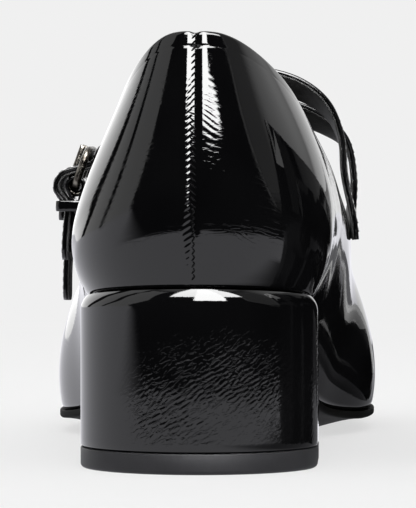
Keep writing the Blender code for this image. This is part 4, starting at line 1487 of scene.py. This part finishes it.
@dataclass
class Sock(Plate):
    """The sock on the footbed: soft leather with a rounded edge that rises a little at the sides."""

    edge_round: float = 0.5
    top_round: float = 1.1
    edge: float = 3.0
    thickness: float = 2.0
    cup: float = 0.7
    row_inset: float = 4.4
    stitching: Stitching = Stitching(thread=0.36, length=1.8, pitch=2.6)

    def inset(self) -> Array:
        """The sock stays clear of the wall."""
        return np.full(self.columns + 1, self.edge)

    def under(self, y: Array, side: Array | float) -> Array:
        """It lies level across on the turned-in margin."""
        return SOLE.feather(y) + WALL + GAP

    def thick(self, y: Array) -> Array:
        """The same thickness everywhere."""
        return np.full_like(y, self.thickness)

    def crown(self, y: Array, side: Array | float) -> Array:
        """The heel cup: the sock is pressed down in the middle of the seat."""
        return -self.cup * (1.0 - np.asarray(side) ** 2) * smoothstep(60.0, 20.0, y)

    def build(self) -> None:
        """Makes the sock and the row sewn round its edge."""
        deliver("sock_lining", self.form(), SOCK, ("insole",))
        form = bmesh.new()
        ring = self.ring(self.row_inset, 0.0, 0.0, over=True)
        run = Run(ring, np.array([0.0, 0.0, 1.0]))
        length = run_of(ring)[-1]
        for distance in np.arange(0.0, length - 1.0, self.stitching.pitch):
            middle, along, _ = run.at(distance, 0.0, 0.0)
            self.stitching.stitch(form, middle, along, Vector((0.0, 0.0, 1.0)))
        deliver("sock_stitches", form, THREAD)


@dataclass
class Heel:
    """The block heel under its patent cover, with the rubber top piece."""

    width: float = 57.5
    back_y: float = -24.0
    breast_y: float = 24.0
    round_depth: float = 28.0
    shoulder: float = 4.8
    shoulder_turn: float = 44.0
    rim: float = 0.5
    breast_corner: float = 2.5
    piece: float = 5.0
    piece_round: float = 1.0
    tuck: float = 0.5
    seam_depth: float = 0.3
    back_lean: float = 0.02

    def outline(self, inset: float) -> Array:
        """The heel in plan, from the middle of the breast round the back and back again.

        Args:
            inset: how far inside the heel's edge, in mm.

        Returns:
            The points' x and y.
        """
        half, deep = self.width / 2.0 - inset, self.round_depth - inset
        middle, front, corner = self.back_y + self.round_depth, self.breast_y - inset, self.breast_corner
        turn = np.linspace(0.0, 0.5 * math.pi, 7)
        flat = [(x, front) for x in np.array([0.0, 0.4, 0.8, 1.4, 3.0, 8.0, 14.0, 20.0, 24.0]) * half / 28.75]
        round_corner = [
            (half - corner + corner * math.sin(a), front - corner + corner * math.cos(a)) for a in turn
        ]
        sides = [(half, y) for y in np.linspace(front - corner, middle, 9)[1:-1]]
        back = [
            (half * math.cos(a), middle - deep * math.sin(a)) for a in np.linspace(0.0, 0.5 * math.pi, 42)
        ]
        medial = np.array(flat + round_corner + sides + back)
        lateral = medial[-2::-1] * (-1.0, 1.0)
        return np.vstack([medial, lateral])[::-1]

    def ring(self, inset: float, height: Array | float) -> Array:
        """The outline inset by so many mm, at a height."""
        line = self.outline(inset)
        return np.column_stack([line, np.broadcast_to(height, len(line))])

    def make_cover(self) -> None:
        """The patent cover: tucked in at the foot, straight up the block and drawn in over its shoulder."""
        low = self.piece + GAP
        rings = [self.ring(self.tuck * x, low + self.tuck * z) for x, z in rounding(0.0, 90.0, 3)]
        line = self.outline(0.0)
        turn = math.radians(self.shoulder_turn)
        crest = SOLE.under(line[:, 1]) - GAP + (self.rim + GAP) * smoothstep(21.0, 12.0, line[:, 1])
        top = crest - self.shoulder * math.sin(turn)
        base = low + self.tuck
        rings += [self.ring(0.0, base + (top - base) * share) for share in np.linspace(0.0, 1.0, 24)[1:]]
        for a in np.linspace(0.0, turn, 9)[1:]:
            line = self.outline(self.shoulder * (1.0 - math.cos(a)))
            rings.append(np.column_stack([line, top + self.shoulder * math.sin(a)]))
        drawn = self.shoulder * (1.0 - math.cos(turn))
        for inset, drop in ((0.25, 0.1), (0.45, 0.4), (0.6, 1.0)):
            height = np.maximum(crest - drop, SOLE.under(line[:, 1]) - GAP - 0.05 * drop)
            rings.append(self.ring(drawn + inset, np.minimum(crest, height)))
        points = np.array(rings)
        seam = self.seam_depth * bump(points[..., 0], 0.5) * (points[..., 1] > self.breast_y - 2.0)
        points[..., 1] -= seam
        behind = smoothstep(0.0, -16.0, points[..., 1])
        points[..., 1] += self.back_lean * behind * (1.0 - points[..., 2] / HEEL_HEIGHT)
        deliver("heel_cover", capped(Sheet(points).form()), HEEL_PATENT, ("heel",))

    def make_top_piece(self) -> None:
        """The rubber top piece: a rounded tread edge and a small bevel where it meets the cover."""
        rings = [self.ring(self.piece_round * x, self.piece_round * z) for x, z in rounding(0.0, 90.0, 6)]
        bevel = ((0.0, 2.4), (0.0, self.piece - 0.35), (0.12, self.piece - 0.1), (0.35, self.piece))
        rings += [self.ring(inset, height) for inset, height in bevel]
        form = capped(Sheet(np.array(rings)).form())
        deliver("heel_top_piece", form, TOP_RUBBER, ("top_piece",))

    def build(self) -> None:
        """Makes the heel's two pieces."""
        self.make_cover()
        self.make_top_piece()


@dataclass(frozen=True)
class StrapSizes:
    """Sizes that the two instep straps share, in mm."""

    width: float = 10.0
    thickness: float = 1.8
    medial_end_z: float = 53.0
    front_ahead: float = 12.6
    front_drop: float = 6.8
    front_out: float = 2.4
    steps: int = 150
    tail_corner: float = 2.4
    tab_width: float = 8.4
    tab_thickness: float = 0.9
    tab_fold: float = 2.3
    tab_end_z: float = 50.0
    bar: float = 1.0
    buckle_length: float = 9.8
    buckle_width: float = 14.3
    buckle_corner: float = 3.4
    buckle_lean: float = 20.0
    buckle_off: float = 1.5
    heel_bar_z: float = 67.2
    prong: float = 0.75
    prong_loop: float = 2.0
    prong_slot: float = 1.35
    prong_hole: float = 1.2
    hole: float = 1.25
    hole_pitch: float = 6.5
    punch_depth: float = 3.2
    unpunched: float = 6.0
    row_inset: float = 1.35
    row_end: float = 1.6
    face: float = 1.15
    keeper_over: float = 0.4
    keeper_width: float = 2.8
    keeper_slack: float = 0.9
    keeper_thickness: float = 0.9
    keeper_corner: float = 1.1


@dataclass
class InstepStrap:
    """One strap with its folded tab, buckle, prong, loop and stitches."""

    last: Last
    fastening: Fastening
    sizes: StrapSizes = StrapSizes()
    edge_row: Stitching = Stitching(thread=0.32, length=1.55, pitch=2.1)
    end_row: Stitching = Stitching(thread=0.42, length=1.3, pitch=1.7)

    def __post_init__(self) -> None:
        """Sets the heel bar's middle, and the buckle's axes: up to the far bar, outward and along the bar."""
        lean = math.radians(self.sizes.buckle_lean)
        edge = self.last.side(self.fastening.buckle_y, self.sizes.heel_bar_z, medial=False)
        self.origin = np.array([edge - self.sizes.buckle_off, self.fastening.buckle_y, self.sizes.heel_bar_z])
        self.up = np.array([math.sin(lean), 0.0, math.cos(lean)])
        self.away = np.array([-math.cos(lean), 0.0, math.sin(lean)])
        self.bar = np.array([0.0, 1.0, 0.0])

    def spot(self, up: float, out: float, bar: float = 0.0) -> Array:
        """A point in the buckle's own axes."""
        return self.origin + self.up * up + self.away * out + self.bar * bar

    def loop(self, radius: float, start: float, end: float, count: int) -> list[Array]:
        """Points round the heel bar, from one angle to another in degrees."""
        turns = np.radians(np.linspace(start, end, count))
        return [self.spot(radius * math.sin(a), radius * math.cos(a)) for a in turns]

    def beside(self, y: float, z: float, stand_off: float, medial: bool = False) -> Array:
        """A point outside the upper's wall, or over its topline."""
        edge = self.last.side(y, z, medial)
        return np.array([edge + math.copysign(stand_off, edge), y, z])

    def tab_middle(self) -> float:
        """Stand-off of the tab's middle from the quarter, where its two layers lie together."""
        return GAP + self.sizes.tab_thickness + GAP / 2.0

    def tail_middle(self) -> float:
        """Stand-off of the hanging end's middle from the quarter."""
        return self.tab_middle() + self.sizes.tab_thickness + 1.5 * GAP + self.sizes.thickness / 2.0

    def keeper_z(self) -> float:
        """Middle height of the loop, which clears the topline over the strap's whole width."""
        y = self.fastening.buckle_y - self.sizes.width / 2.0 - self.sizes.keeper_thickness - GAP
        return self.last.edge_height(y, medial=False) + self.sizes.keeper_over + self.sizes.keeper_width / 2.0

    def path(self) -> Array:
        """The strap's middle line, from the medial end over the instep and down.

        Returns:
            Rows of x, y, z, tilt and yaw.
        """
        size, fastening = self.sizes, self.fastening
        flat = GAP + size.thickness / 2.0 + 0.1
        y = fastening.medial_y
        rows = []
        for z in (size.medial_end_z, size.medial_end_z + 5.0):
            turn = self.last.side(y + 4.0, z, medial=True) - self.last.side(y - 4.0, z, medial=True)
            rows.append((*self.beside(y, z, flat, medial=True), 0.0, math.degrees(math.atan2(turn, 8.0))))
        for fold in INSTEP_FOLDS:
            ahead = size.front_ahead * fold.ahead * fastening.front
            drop = size.front_drop * fold.drop * fastening.front
            out = size.front_out * fold.out * fastening.front
            rows.append((fold.x + out, fold.y + ahead, fold.z - drop, fold.tilt, 0.0))
        under = size.bar + GAP + size.thickness / 2.0 + 0.6
        over = size.tab_fold + size.tab_thickness / 2.0 + GAP + size.thickness / 2.0 + 0.5
        near_bars = (
            (size.buckle_length + 3.4, -under - 0.9),
            (size.buckle_length + 0.4, -under),
            (size.buckle_length - 2.3, -under + 0.2),
            (1.4, over - 0.1),
            (-2.2, over),
        )
        rows += [(*self.spot(up, out), 0.0, 0.0) for up, out in near_bars]
        for z in np.linspace(self.keeper_z(), fastening.tail_z, 4):
            rows.append((*self.beside(fastening.buckle_y, float(z), self.tail_middle()), 0.0, 0.0))
        return smooth_path(rows, size.steps)

    def strap_run(self) -> Run:
        """The strap's path with its directions."""
        path = self.path()
        tilt, yaw = np.radians(path[:, 3]), np.radians(path[:, 4])
        across = np.column_stack([np.sin(yaw) * np.cos(tilt), np.cos(yaw) * np.cos(tilt), -np.sin(tilt)])
        return Run(path[:, :3], across)

    def make_strap(self) -> None:
        """Patent face and lining back to back, rounded at both ends, punched and sewn along the edges."""
        size, name = self.sizes, self.fastening.name
        run = self.strap_run()
        length = run_of(run.points)
        end = np.minimum(length, length[-1] - length)
        corner = size.tail_corner
        rest = np.clip(corner - end, 0.0, corner)
        width = 1.0 - (corner - np.sqrt(np.maximum(corner**2 - rest**2, 0.0))) / (size.width / 2.0)
        back = size.thickness - size.face
        outline = rounded_box(size.width, size.face, 0.5, crown=0.18)
        outline[:, 1] += back / 2.0
        patent = deliver(
            f"strap_{name}_patent", run.skinned(outline, width), STRAP_PATENT, (f"strap_{name}",)
        )
        outline = rounded_box(size.width - 0.35, back - 0.06, 0.25)
        outline[:, 1] -= size.face / 2.0
        lining = deliver(f"strap_{name}_lining", run.skinned(outline, width), LINING)
        crossing = np.abs((run.points - self.origin) @ self.away - size.prong_loop)
        crossing[np.abs((run.points - self.origin) @ self.up - size.buckle_length / 2.0) > 5.0] = np.inf
        prong = float(length[int(np.argmin(crossing))])
        holes = []
        for distance in prong + size.hole_pitch * np.array([-2, -1, 1, 2, 3, 4]):
            if distance < length[-1] - size.unpunched:
                middle, _, out = run.at(distance, 0.0, 0.0)
                holes.append((middle, out, size.hole, size.punch_depth))
        pinned = (Vector(self.spot(4.7, size.prong_loop)), Vector(self.up), size.prong_hole, 8.0)
        for layer in (patent, lining):
            punch(layer, [*holes, pinned])
        self.sew_strap(run, length[-1], holes)

    def sew_strap(self, run: Run, length: float, holes: Sequence[Hole]) -> None:
        """A row along each edge, and the rows across its medial end that hold it to the quarter.

        Args:
            run: the strap's run.
            length: its length in mm.
            holes: the punched holes, each of which has a turned rim.
        """
        size, name = self.sizes, self.fastening.name
        form = bmesh.new()
        high = size.thickness / 2.0
        side = size.width / 2.0 - size.row_inset
        for across in (-side, side):
            self.edge_row.row(form, run, across, high + 0.02, size.row_end, length - size.row_end)
        for distance in (2.2, 4.4):
            for across in np.arange(-side + 0.8, side, self.end_row.pitch):
                self.end_row.cross(form, run, (distance, across, high + 0.12))
        for across in np.arange(-2.4, 2.5, 1.6):
            self.edge_row.cross(form, run, (length - 1.9, across, high + 0.1), 1.2)
        deliver(f"strap_{name}_stitches", form, THREAD)
        form = bmesh.new()
        for middle, out, radius, _ in holes:
            rim = self.ring_points(middle + out * (high + 0.02), out, radius + 0.1, 20)
            ring = Run(rim, np.array(out), closed=True)
            piece = ring.skinned(rounded_box(0.22, 0.28, 0.1, steps=2))
            mesh = bpy.data.meshes.new("ring")
            piece.to_mesh(mesh)
            piece.free()
            form.from_mesh(mesh)
            bpy.data.meshes.remove(mesh)
        deliver(f"strap_{name}_hole_edges", form, EDGE_INK)

    @staticmethod
    def ring_points(middle: Vector, axis: Vector, radius: float, count: int) -> Array:
        """Points round a circle."""
        turn = axis.to_track_quat("Z", "Y")
        angles = np.linspace(0.0, 2.0 * math.pi, count, endpoint=False)
        return np.array(
            [middle + turn @ Vector((radius * math.cos(a), radius * math.sin(a), 0.0)) for a in angles]
        )

    def make_tab(self) -> None:
        """The tab: up its outer layer, round the heel bar and down its inner layer, sewn across below."""
        size, name = self.sizes, self.fastening.name
        half = (size.tab_thickness + GAP) / 2.0
        heights = [float(z) for z in np.linspace(size.tab_end_z, self.keeper_z(), 3)]
        outer = [self.beside(self.fastening.buckle_y, z, self.tab_middle() + half) for z in heights]
        inner = [self.beside(self.fastening.buckle_y, z, self.tab_middle() - half) for z in heights]
        fold = self.loop(size.tab_fold, -25.0, 205.0, 9)
        run = Run(smooth_path(outer + fold + inner[::-1], 90), self.bar, flip=-1.0)
        tab = deliver(
            f"tab_{name}_leather",
            run.skinned(rounded_box(size.tab_width, size.tab_thickness, 0.36, crown=0.06)),
            STRAP_PATENT,
            (f"tab_{name}",),
        )
        punch(tab, [(Vector(self.origin), Vector(self.up), size.prong_slot, 2.0 * size.prong_loop + 2.8)])
        form = bmesh.new()
        high = size.tab_thickness / 2.0
        for distance in (1.5, 3.2):
            for across in (-2.7, -0.9, 0.9, 2.7):
                self.end_row.cross(form, run, (distance, across, high + 0.1))
        deliver(f"tab_{name}_stitches", form, THREAD)

    def make_buckle(self) -> None:
        """The rounded square frame: one soft ridged bar all round, under the tab as well."""
        size, name = self.sizes, self.fastening.name
        half_wide, half_long = size.buckle_width / 2.0 - size.bar, size.buckle_length / 2.0
        corners = corner_points(half_wide, half_long, size.buckle_corner, 11).reshape(-1, 2)
        points = np.array([self.spot(half_long + upward, 0.0, across) for across, upward in corners])
        run = Run(points, self.away, closed=True)
        ridged = rounded_box(2.0 * size.bar, 2.1 * size.bar, 0.72, steps=6)
        ridged[:, 1] *= 1.0 + 0.1 * bump(ridged[:, 0], 0.35)
        ridged[:, 0] *= 1.0 + 0.08 * bump(ridged[:, 1], 0.3)
        deliver(
            f"buckle_{name}_frame", run.skinned(ridged), GUNMETAL, (f"buckle_{name}",), sharp=60.0
        )

    def make_prong(self) -> None:
        """The pin: it loops round the heel bar and tapers where it rests on the far bar."""
        size, name = self.sizes, self.fastening.name
        points = self.loop(size.prong_loop, 60.0, 350.0, 28)
        for up in (1.0, size.buckle_length / 2.0, size.buckle_length + 0.7):
            points.append(self.spot(up, size.prong_loop))
        path = smooth_path(points, 90)
        run = Run(path, self.bar)
        length = run_of(path)
        taper = 1.0 - 0.35 * smoothstep(length[-1] - 5.0, length[-1], length)
        taper *= np.sqrt(np.clip((length[-1] - length) / 0.7, 0.05, 1.0))
        outline = rounded_box(2.0 * size.prong, 2.0 * size.prong, size.prong, steps=4)
        pin = run.skinned(outline, taper)
        deliver(f"prong_{name}_pin", pin, GUNMETAL, (f"prong_{name}",), sharp=70.0)

    def make_keeper(self) -> None:
        """The loop round the tab and the hanging end: a folded patent strip, closed behind."""
        size, name = self.sizes, self.fastening.name
        thick = size.keeper_thickness / 2.0
        wide = size.width / 2.0 + GAP + thick
        low = self.tab_middle() - size.tab_thickness - 1.5 * GAP - thick
        high = self.tail_middle() + size.thickness / 2.0 + GAP + thick + size.keeper_slack
        middle = self.keeper_z()
        edge = self.last.side(self.fastening.buckle_y, middle, medial=False)
        corners = corner_points((high - low) / 2.0, wide, size.keeper_corner, 5).reshape(-1, 2)
        x, y = edge - (high + low) / 2.0 - corners[:, 0], self.fastening.buckle_y + corners[:, 1]
        points = np.column_stack([x, y, np.full(len(x), middle)])
        run = Run(points, np.array([0.0, 0.0, 1.0]), closed=True)
        outline = rounded_box(size.keeper_width, size.keeper_thickness, 0.3, crown=0.05)
        deliver(f"keeper_{name}_loop", run.skinned(outline), STRAP_PATENT, (f"keeper_{name}",))

    def build(self) -> None:
        """Makes the strap and all that fastens it."""
        self.make_strap()
        self.make_tab()
        self.make_buckle()
        self.make_prong()
        self.make_keeper()


# ---------------- studio


@dataclass(frozen=True)
class Panel:
    """A lit wall of the studio, as gloss sees it: degrees round from behind the camera and up from level.

    turn grows to the lateral side. Under 22 degrees of rise the edges bow outward, by lean times the
    square of what is missing.
    """

    name: str
    turn: tuple[float, float]
    rise: tuple[float, float]
    light: float
    soft: float = 1.5
    lean: float = 0.0


@dataclass
class Studio:
    """A pale floor and backdrop, a dark room behind the camera, side walls and one tall strip of light."""

    backdrop: str = "#F0F0F0"
    paper: str = "#F1F1F1"
    glow: str = "#F9F9FF"
    fill: float = 0.9
    half_floor: float = 4000.0
    table_light: float = 1.08
    table_edge: float = 0.334
    table_soft: float = 0.012
    table_slant: float = 0.46
    slant_soft: float = 0.14
    aisle: tuple[float, float] = (0.028, 0.165)
    aisle_slant: float = 0.08
    aisle_shade: float = 0.85
    clean: float = 0.72
    sweep: tuple[float, float] = (0.2, 0.8)
    bow_below: float = 22.0
    pair_plane: float = 43.5
    instep_rise: float = 30.0
    lens: float = 292.4
    camera_place: tuple[float, float, float] = (0.04296, -0.994, 0.078)
    camera_aim: tuple[float, float, float] = (-0.0409, 1.0, -0.02655)
    panels: tuple[Panel, ...] = (
        Panel("strip", turn=(-29.0, 2.5), rise=(14.0, 84.0), light=24.0, soft=1.0),
        Panel("strip head", turn=(-50.0, 30.0), rise=(36.0, 84.0), light=20.0, soft=1.5),
        Panel("lateral wall", turn=(49.0, 82.5), rise=(-30.0, 62.0), light=0.95, soft=0.6, lean=0.039),
        Panel("lateral leaf", turn=(90.0, 113.0), rise=(-30.0, 64.0), light=0.95, soft=0.6, lean=0.033),
        Panel("lateral backdrop", turn=(123.5, 181.0), rise=(-30.0, 75.0), light=1.9, soft=1.0, lean=0.027),
        Panel("medial wall edge", turn=(-52.0, -49.0), rise=(0.0, 50.0), light=0.5, soft=1.0, lean=0.055),
        Panel("medial wall", turn=(-96.0, -52.0), rise=(2.0, 60.0), light=0.3, soft=2.0, lean=0.055),
        Panel("medial turn", turn=(-146.0, -86.0), rise=(4.0, 62.0), light=1.0, soft=18.0),
        Panel("medial backdrop", turn=(-181.0, -142.0), rise=(-30.0, 75.0), light=1.0, soft=6.0),
        Panel("ceiling", turn=(-200.0, 200.0), rise=(66.0, 95.0), light=0.8, soft=6.0),
    )

    def gate(
        self,
        tree: NodeTree,
        source: NodeSocket,
        low: float,
        high: float,
        soft: float,
        falling: NodeSocket | None = None,
    ) -> NodeSocket:
        """A share that is 1 between two values and falls softly to 0 outside.

        Args:
            tree: the node tree.
            source: what is measured.
            low: the lower value.
            high: the upper value.
            soft: half the width of each soft edge.
            falling: what is measured at the upper value, where that is something else.

        Returns:
            The share.
        """
        rise, fall = (
            add(
                tree,
                "ShaderNodeMapRange",
                {"Value": measure},
                {"From Min": edge - soft, "From Max": edge + soft, "To Min": before, "To Max": 1.0 - before},
                interpolation_type="SMOOTHSTEP",
            )
            for measure, edge, before in ((source, low, 0.0), (falling or source, high, 1.0))
        )
        return add(tree, "ShaderNodeMath", {0: rise, 1: fall}, operation="MULTIPLY").outputs[0]

    def make_world(self) -> None:
        """Plain pale for the eye, an even fill for matt surfaces, and the lit panels for gloss."""
        world = bpy.data.worlds.new("studio")
        bpy.context.scene.world = world
        world.use_nodes = True
        tree = world.node_tree
        tree.nodes.clear()
        split = add(tree, "ShaderNodeSeparateXYZ", {0: add(tree, "ShaderNodeTexCoord").outputs["Generated"]})
        left, back = (
            add(tree, "ShaderNodeMath", {0: axis}, {1: -1.0}, operation="MULTIPLY")
            for axis in split.outputs[:2]
        )
        turn = add(tree, "ShaderNodeMath", {0: left, 1: back}, operation="ARCTAN2")
        rise = add(tree, "ShaderNodeMath", {0: split.outputs[2]}, operation="ARCSINE")
        turn, rise = (add(tree, "ShaderNodeMath", {0: angle}, operation="DEGREES") for angle in (turn, rise))
        low = add(tree, "ShaderNodeMath", {1: rise}, {0: self.bow_below}, operation="SUBTRACT")
        low = add(tree, "ShaderNodeMath", {0: low}, {1: 0.0}, operation="MAXIMUM")
        low = add(tree, "ShaderNodeMath", {0: low}, {1: 2.0}, operation="POWER")
        lights = []
        for panel in self.panels:
            sources = []
            for edge in panel.turn:
                source = turn.outputs[0]
                if panel.lean:
                    bow = math.copysign(panel.lean, -edge)
                    source = add(
                        tree, "ShaderNodeMath", {0: low, 2: source}, {1: bow}, operation="MULTIPLY_ADD"
                    ).outputs[0]
                sources.append(source)
            across = self.gate(tree, sources[0], *panel.turn, panel.soft, falling=sources[1])
            upward = self.gate(tree, rise.outputs[0], *panel.rise, panel.soft)
            lit = add(tree, "ShaderNodeMath", {0: across, 1: upward}, operation="MULTIPLY")
            lights.append(add(tree, "ShaderNodeMath", {0: lit}, {1: panel.light}, operation="MULTIPLY"))
        total = lights[0]
        for lit in lights[1:]:
            total = add(tree, "ShaderNodeMath", {0: total, 1: lit}, operation="MAXIMUM")
        path = add(tree, "ShaderNodeLightPath")
        gloss = add(tree, "ShaderNodeBackground", {"Strength": total}, {"Color": (1.0, 1.0, 1.0, 1.0)})
        even = add(tree, "ShaderNodeBackground", None, {"Color": (1.0, 1.0, 1.0, 1.0), "Strength": self.fill})
        seen = add(tree, "ShaderNodeBackground", None, {"Color": srgb(self.backdrop), "Strength": 1.0})
        inner = add(tree, "ShaderNodeMixShader", {0: path.outputs["Is Glossy Ray"], 1: even, 2: gloss})
        outer = add(tree, "ShaderNodeMixShader", {0: path.outputs["Is Camera Ray"], 1: inner, 2: seen})
        add(tree, "ShaderNodeOutputWorld", {0: outer})

    def table(self, tree: NodeTree, spot: NodeSocket) -> Node:
        """How bright the table is to gloss: lit round the shoe and ahead of it, with a painted shadow beside
        the other shoe.

        Args:
            tree: the paper's node tree.
            spot: the place on the floor, in metres.

        Returns:
            The node that gives the brightness.
        """
        split = add(tree, "ShaderNodeSeparateXYZ", {0: spot})
        x, y = split.outputs[0], split.outputs[1]
        near = add(tree, "ShaderNodeMath", {0: y}, {1: 0.0}, operation="MINIMUM")
        flat = add(tree, "ShaderNodeCombineXYZ", {0: x, 1: near})
        reach = add(tree, "ShaderNodeVectorMath", {0: flat}, operation="LENGTH")
        round_edge = self.gate(tree, reach.outputs["Value"], -9.0, self.table_edge, self.table_soft)
        slant = add(tree, "ShaderNodeMath", {0: x, 2: y}, {1: -self.table_slant}, operation="MULTIPLY_ADD")
        ahead = self.gate(tree, slant.outputs[0], 0.0, 9.0, self.slant_soft)
        lit = add(tree, "ShaderNodeMath", {0: round_edge, 1: ahead}, operation="MAXIMUM")
        # Painted shadow: the table's glow is dimmed in the aisle beside the other shoe, where the pair shades
        # the floor.
        aside = add(tree, "ShaderNodeMath", {0: y, 2: x}, {1: -self.aisle_slant}, operation="MULTIPLY_ADD")
        beside = self.gate(tree, aside.outputs[0], *self.aisle, self.table_soft)
        behind = self.gate(tree, y, -0.05, 0.9, 0.03)
        shade = add(tree, "ShaderNodeMath", {0: beside, 1: behind}, operation="MULTIPLY")
        left = add(
            tree, "ShaderNodeMath", {0: shade}, {1: -self.aisle_shade, 2: 1.0}, operation="MULTIPLY_ADD"
        )
        lit = add(tree, "ShaderNodeMath", {0: lit, 1: left}, operation="MULTIPLY")
        return add(tree, "ShaderNodeMath", {0: lit}, {1: self.table_light}, operation="MULTIPLY")

    def make_floor(self) -> None:
        """A pale floor. Gloss sees it lit on the table by the shoe and dark past the table's edge."""
        form = bmesh.new()
        bmesh.ops.create_grid(form, x_segments=2, y_segments=2, size=self.half_floor)
        floor = object_of("stage_floor", form)
        paper = bpy.data.materials.new("pale studio paper")
        paper.use_nodes = True
        tree = paper.node_tree
        shader = tree.nodes["Principled BSDF"]
        fill(shader, {"Base Color": srgb(self.paper), "Roughness": 0.9, "Specular IOR Level": 0.1})
        spot = add(tree, "ShaderNodeTexCoord").outputs["Object"]
        glow = add(
            tree, "ShaderNodeEmission", {"Strength": self.table(tree, spot)}, {"Color": srgb(self.glow)}
        )
        far = add(tree, "ShaderNodeVectorMath", {0: spot}, operation="LENGTH")
        swept = add(
            tree,
            "ShaderNodeMapRange",
            {"Value": far.outputs["Value"]},
            {"From Min": self.sweep[0], "From Max": self.sweep[1], "To Min": self.clean, "To Max": 1.0},
            interpolation_type="SMOOTHSTEP",
        )
        haze = add(tree, "ShaderNodeEmission", None, {"Color": srgb(self.backdrop), "Strength": 1.0})
        seen = add(tree, "ShaderNodeMixShader", {0: swept, 1: shader, 2: haze})
        path = add(tree, "ShaderNodeLightPath")
        mix = add(tree, "ShaderNodeMixShader", {0: path.outputs["Is Glossy Ray"], 1: seen, 2: glow})
        tree.links.new(mix.outputs[0], tree.nodes["Material Output"].inputs["Surface"])
        floor.data.materials.append(paper)

    def make_neighbour(self) -> None:
        """A dark form where the other shoe of the pair stands. Only gloss sees it."""
        last = Last(np.arange(56) / 56)
        rings = [last.wall(share) for share in (0.0, 0.15, 0.4, 0.7, 1.0)]
        instep = rings[-1] * (0.9, 1.0, 1.0)
        instep[:, 2] += self.instep_rise * bump(instep[:, 1] - 125.0, 45.0)
        rings.append(instep)
        block = rings[0].copy()
        block[:, 1] = np.minimum(block[:, 1], 24.0)
        block[:, 2] = 0.0
        points = np.array([block, block + (0.0, 0.0, HEEL_HEIGHT - 6.0)] + rings)
        points[..., 0] = 2.0 * self.pair_plane - points[..., 0]
        form = Sheet(np.concatenate([points, points[:, :1]], axis=1)).form()
        neighbour = object_of("stage_neighbour", form)
        neighbour.data.materials.append(replace(PATENT, name="dark stand-in", ripple_depth=0.0).material())
        neighbour.visible_camera = neighbour.visible_diffuse = neighbour.visible_shadow = False

    def make_lights(self) -> None:
        """Two wide soft lights that model the matt pieces. Gloss doesn't see them."""
        for name, place, size, power in (
            ("overhead softbox", (-0.5, -0.5, 1.5), 1.4, 5.0), ("side softbox", (-1.3, 0.4, 0.7), 0.8, 1.6)
        ):
            light = bpy.data.lights.new(name, "AREA")
            light.energy, light.size = power, size
            lamp = bpy.data.objects.new(name, light)
            lamp.location = place
            aim = Vector((0.0, 0.05, 0.05)) - Vector(place)
            lamp.rotation_euler = aim.to_track_quat("-Z", "Y").to_euler()
            lamp.visible_glossy = False
            lamp.visible_camera = False
            bpy.context.scene.collection.objects.link(lamp)

    def make_camera(self) -> None:
        """A long lens just below the topline, a metre behind the heel and a little to the medial side."""
        data = bpy.data.cameras.new("camera")
        data.lens = self.lens
        data.clip_start, data.clip_end = 0.05, 20.0
        camera = bpy.data.objects.new("camera", data)
        camera.location = self.camera_place
        camera.rotation_euler = Vector(self.camera_aim).to_track_quat("-Z", "Y").to_euler()
        bpy.context.scene.collection.objects.link(camera)
        bpy.context.scene.camera = camera

    def build(self) -> None:
        """Makes the studio."""
        bpy.context.scene.view_settings.view_transform = "Standard"
        self.make_world()
        self.make_floor()
        self.make_neighbour()
        self.make_lights()
        self.make_camera()


def main() -> None:
    """Loads the frame and builds the shoe over it, piece by piece."""
    logging.basicConfig(level=logging.INFO, format="%(name)s: %(message)s", stream=sys.stdout)
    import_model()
    Studio().build()
    Upper().build()
    Outsole().build()
    Sock().build()
    Heel().build()
    last = Last(np.arange(92) / 92)
    for fastening in FASTENINGS:
        InstepStrap(last, fastening).build()


if __name__ == "__main__":
    main()
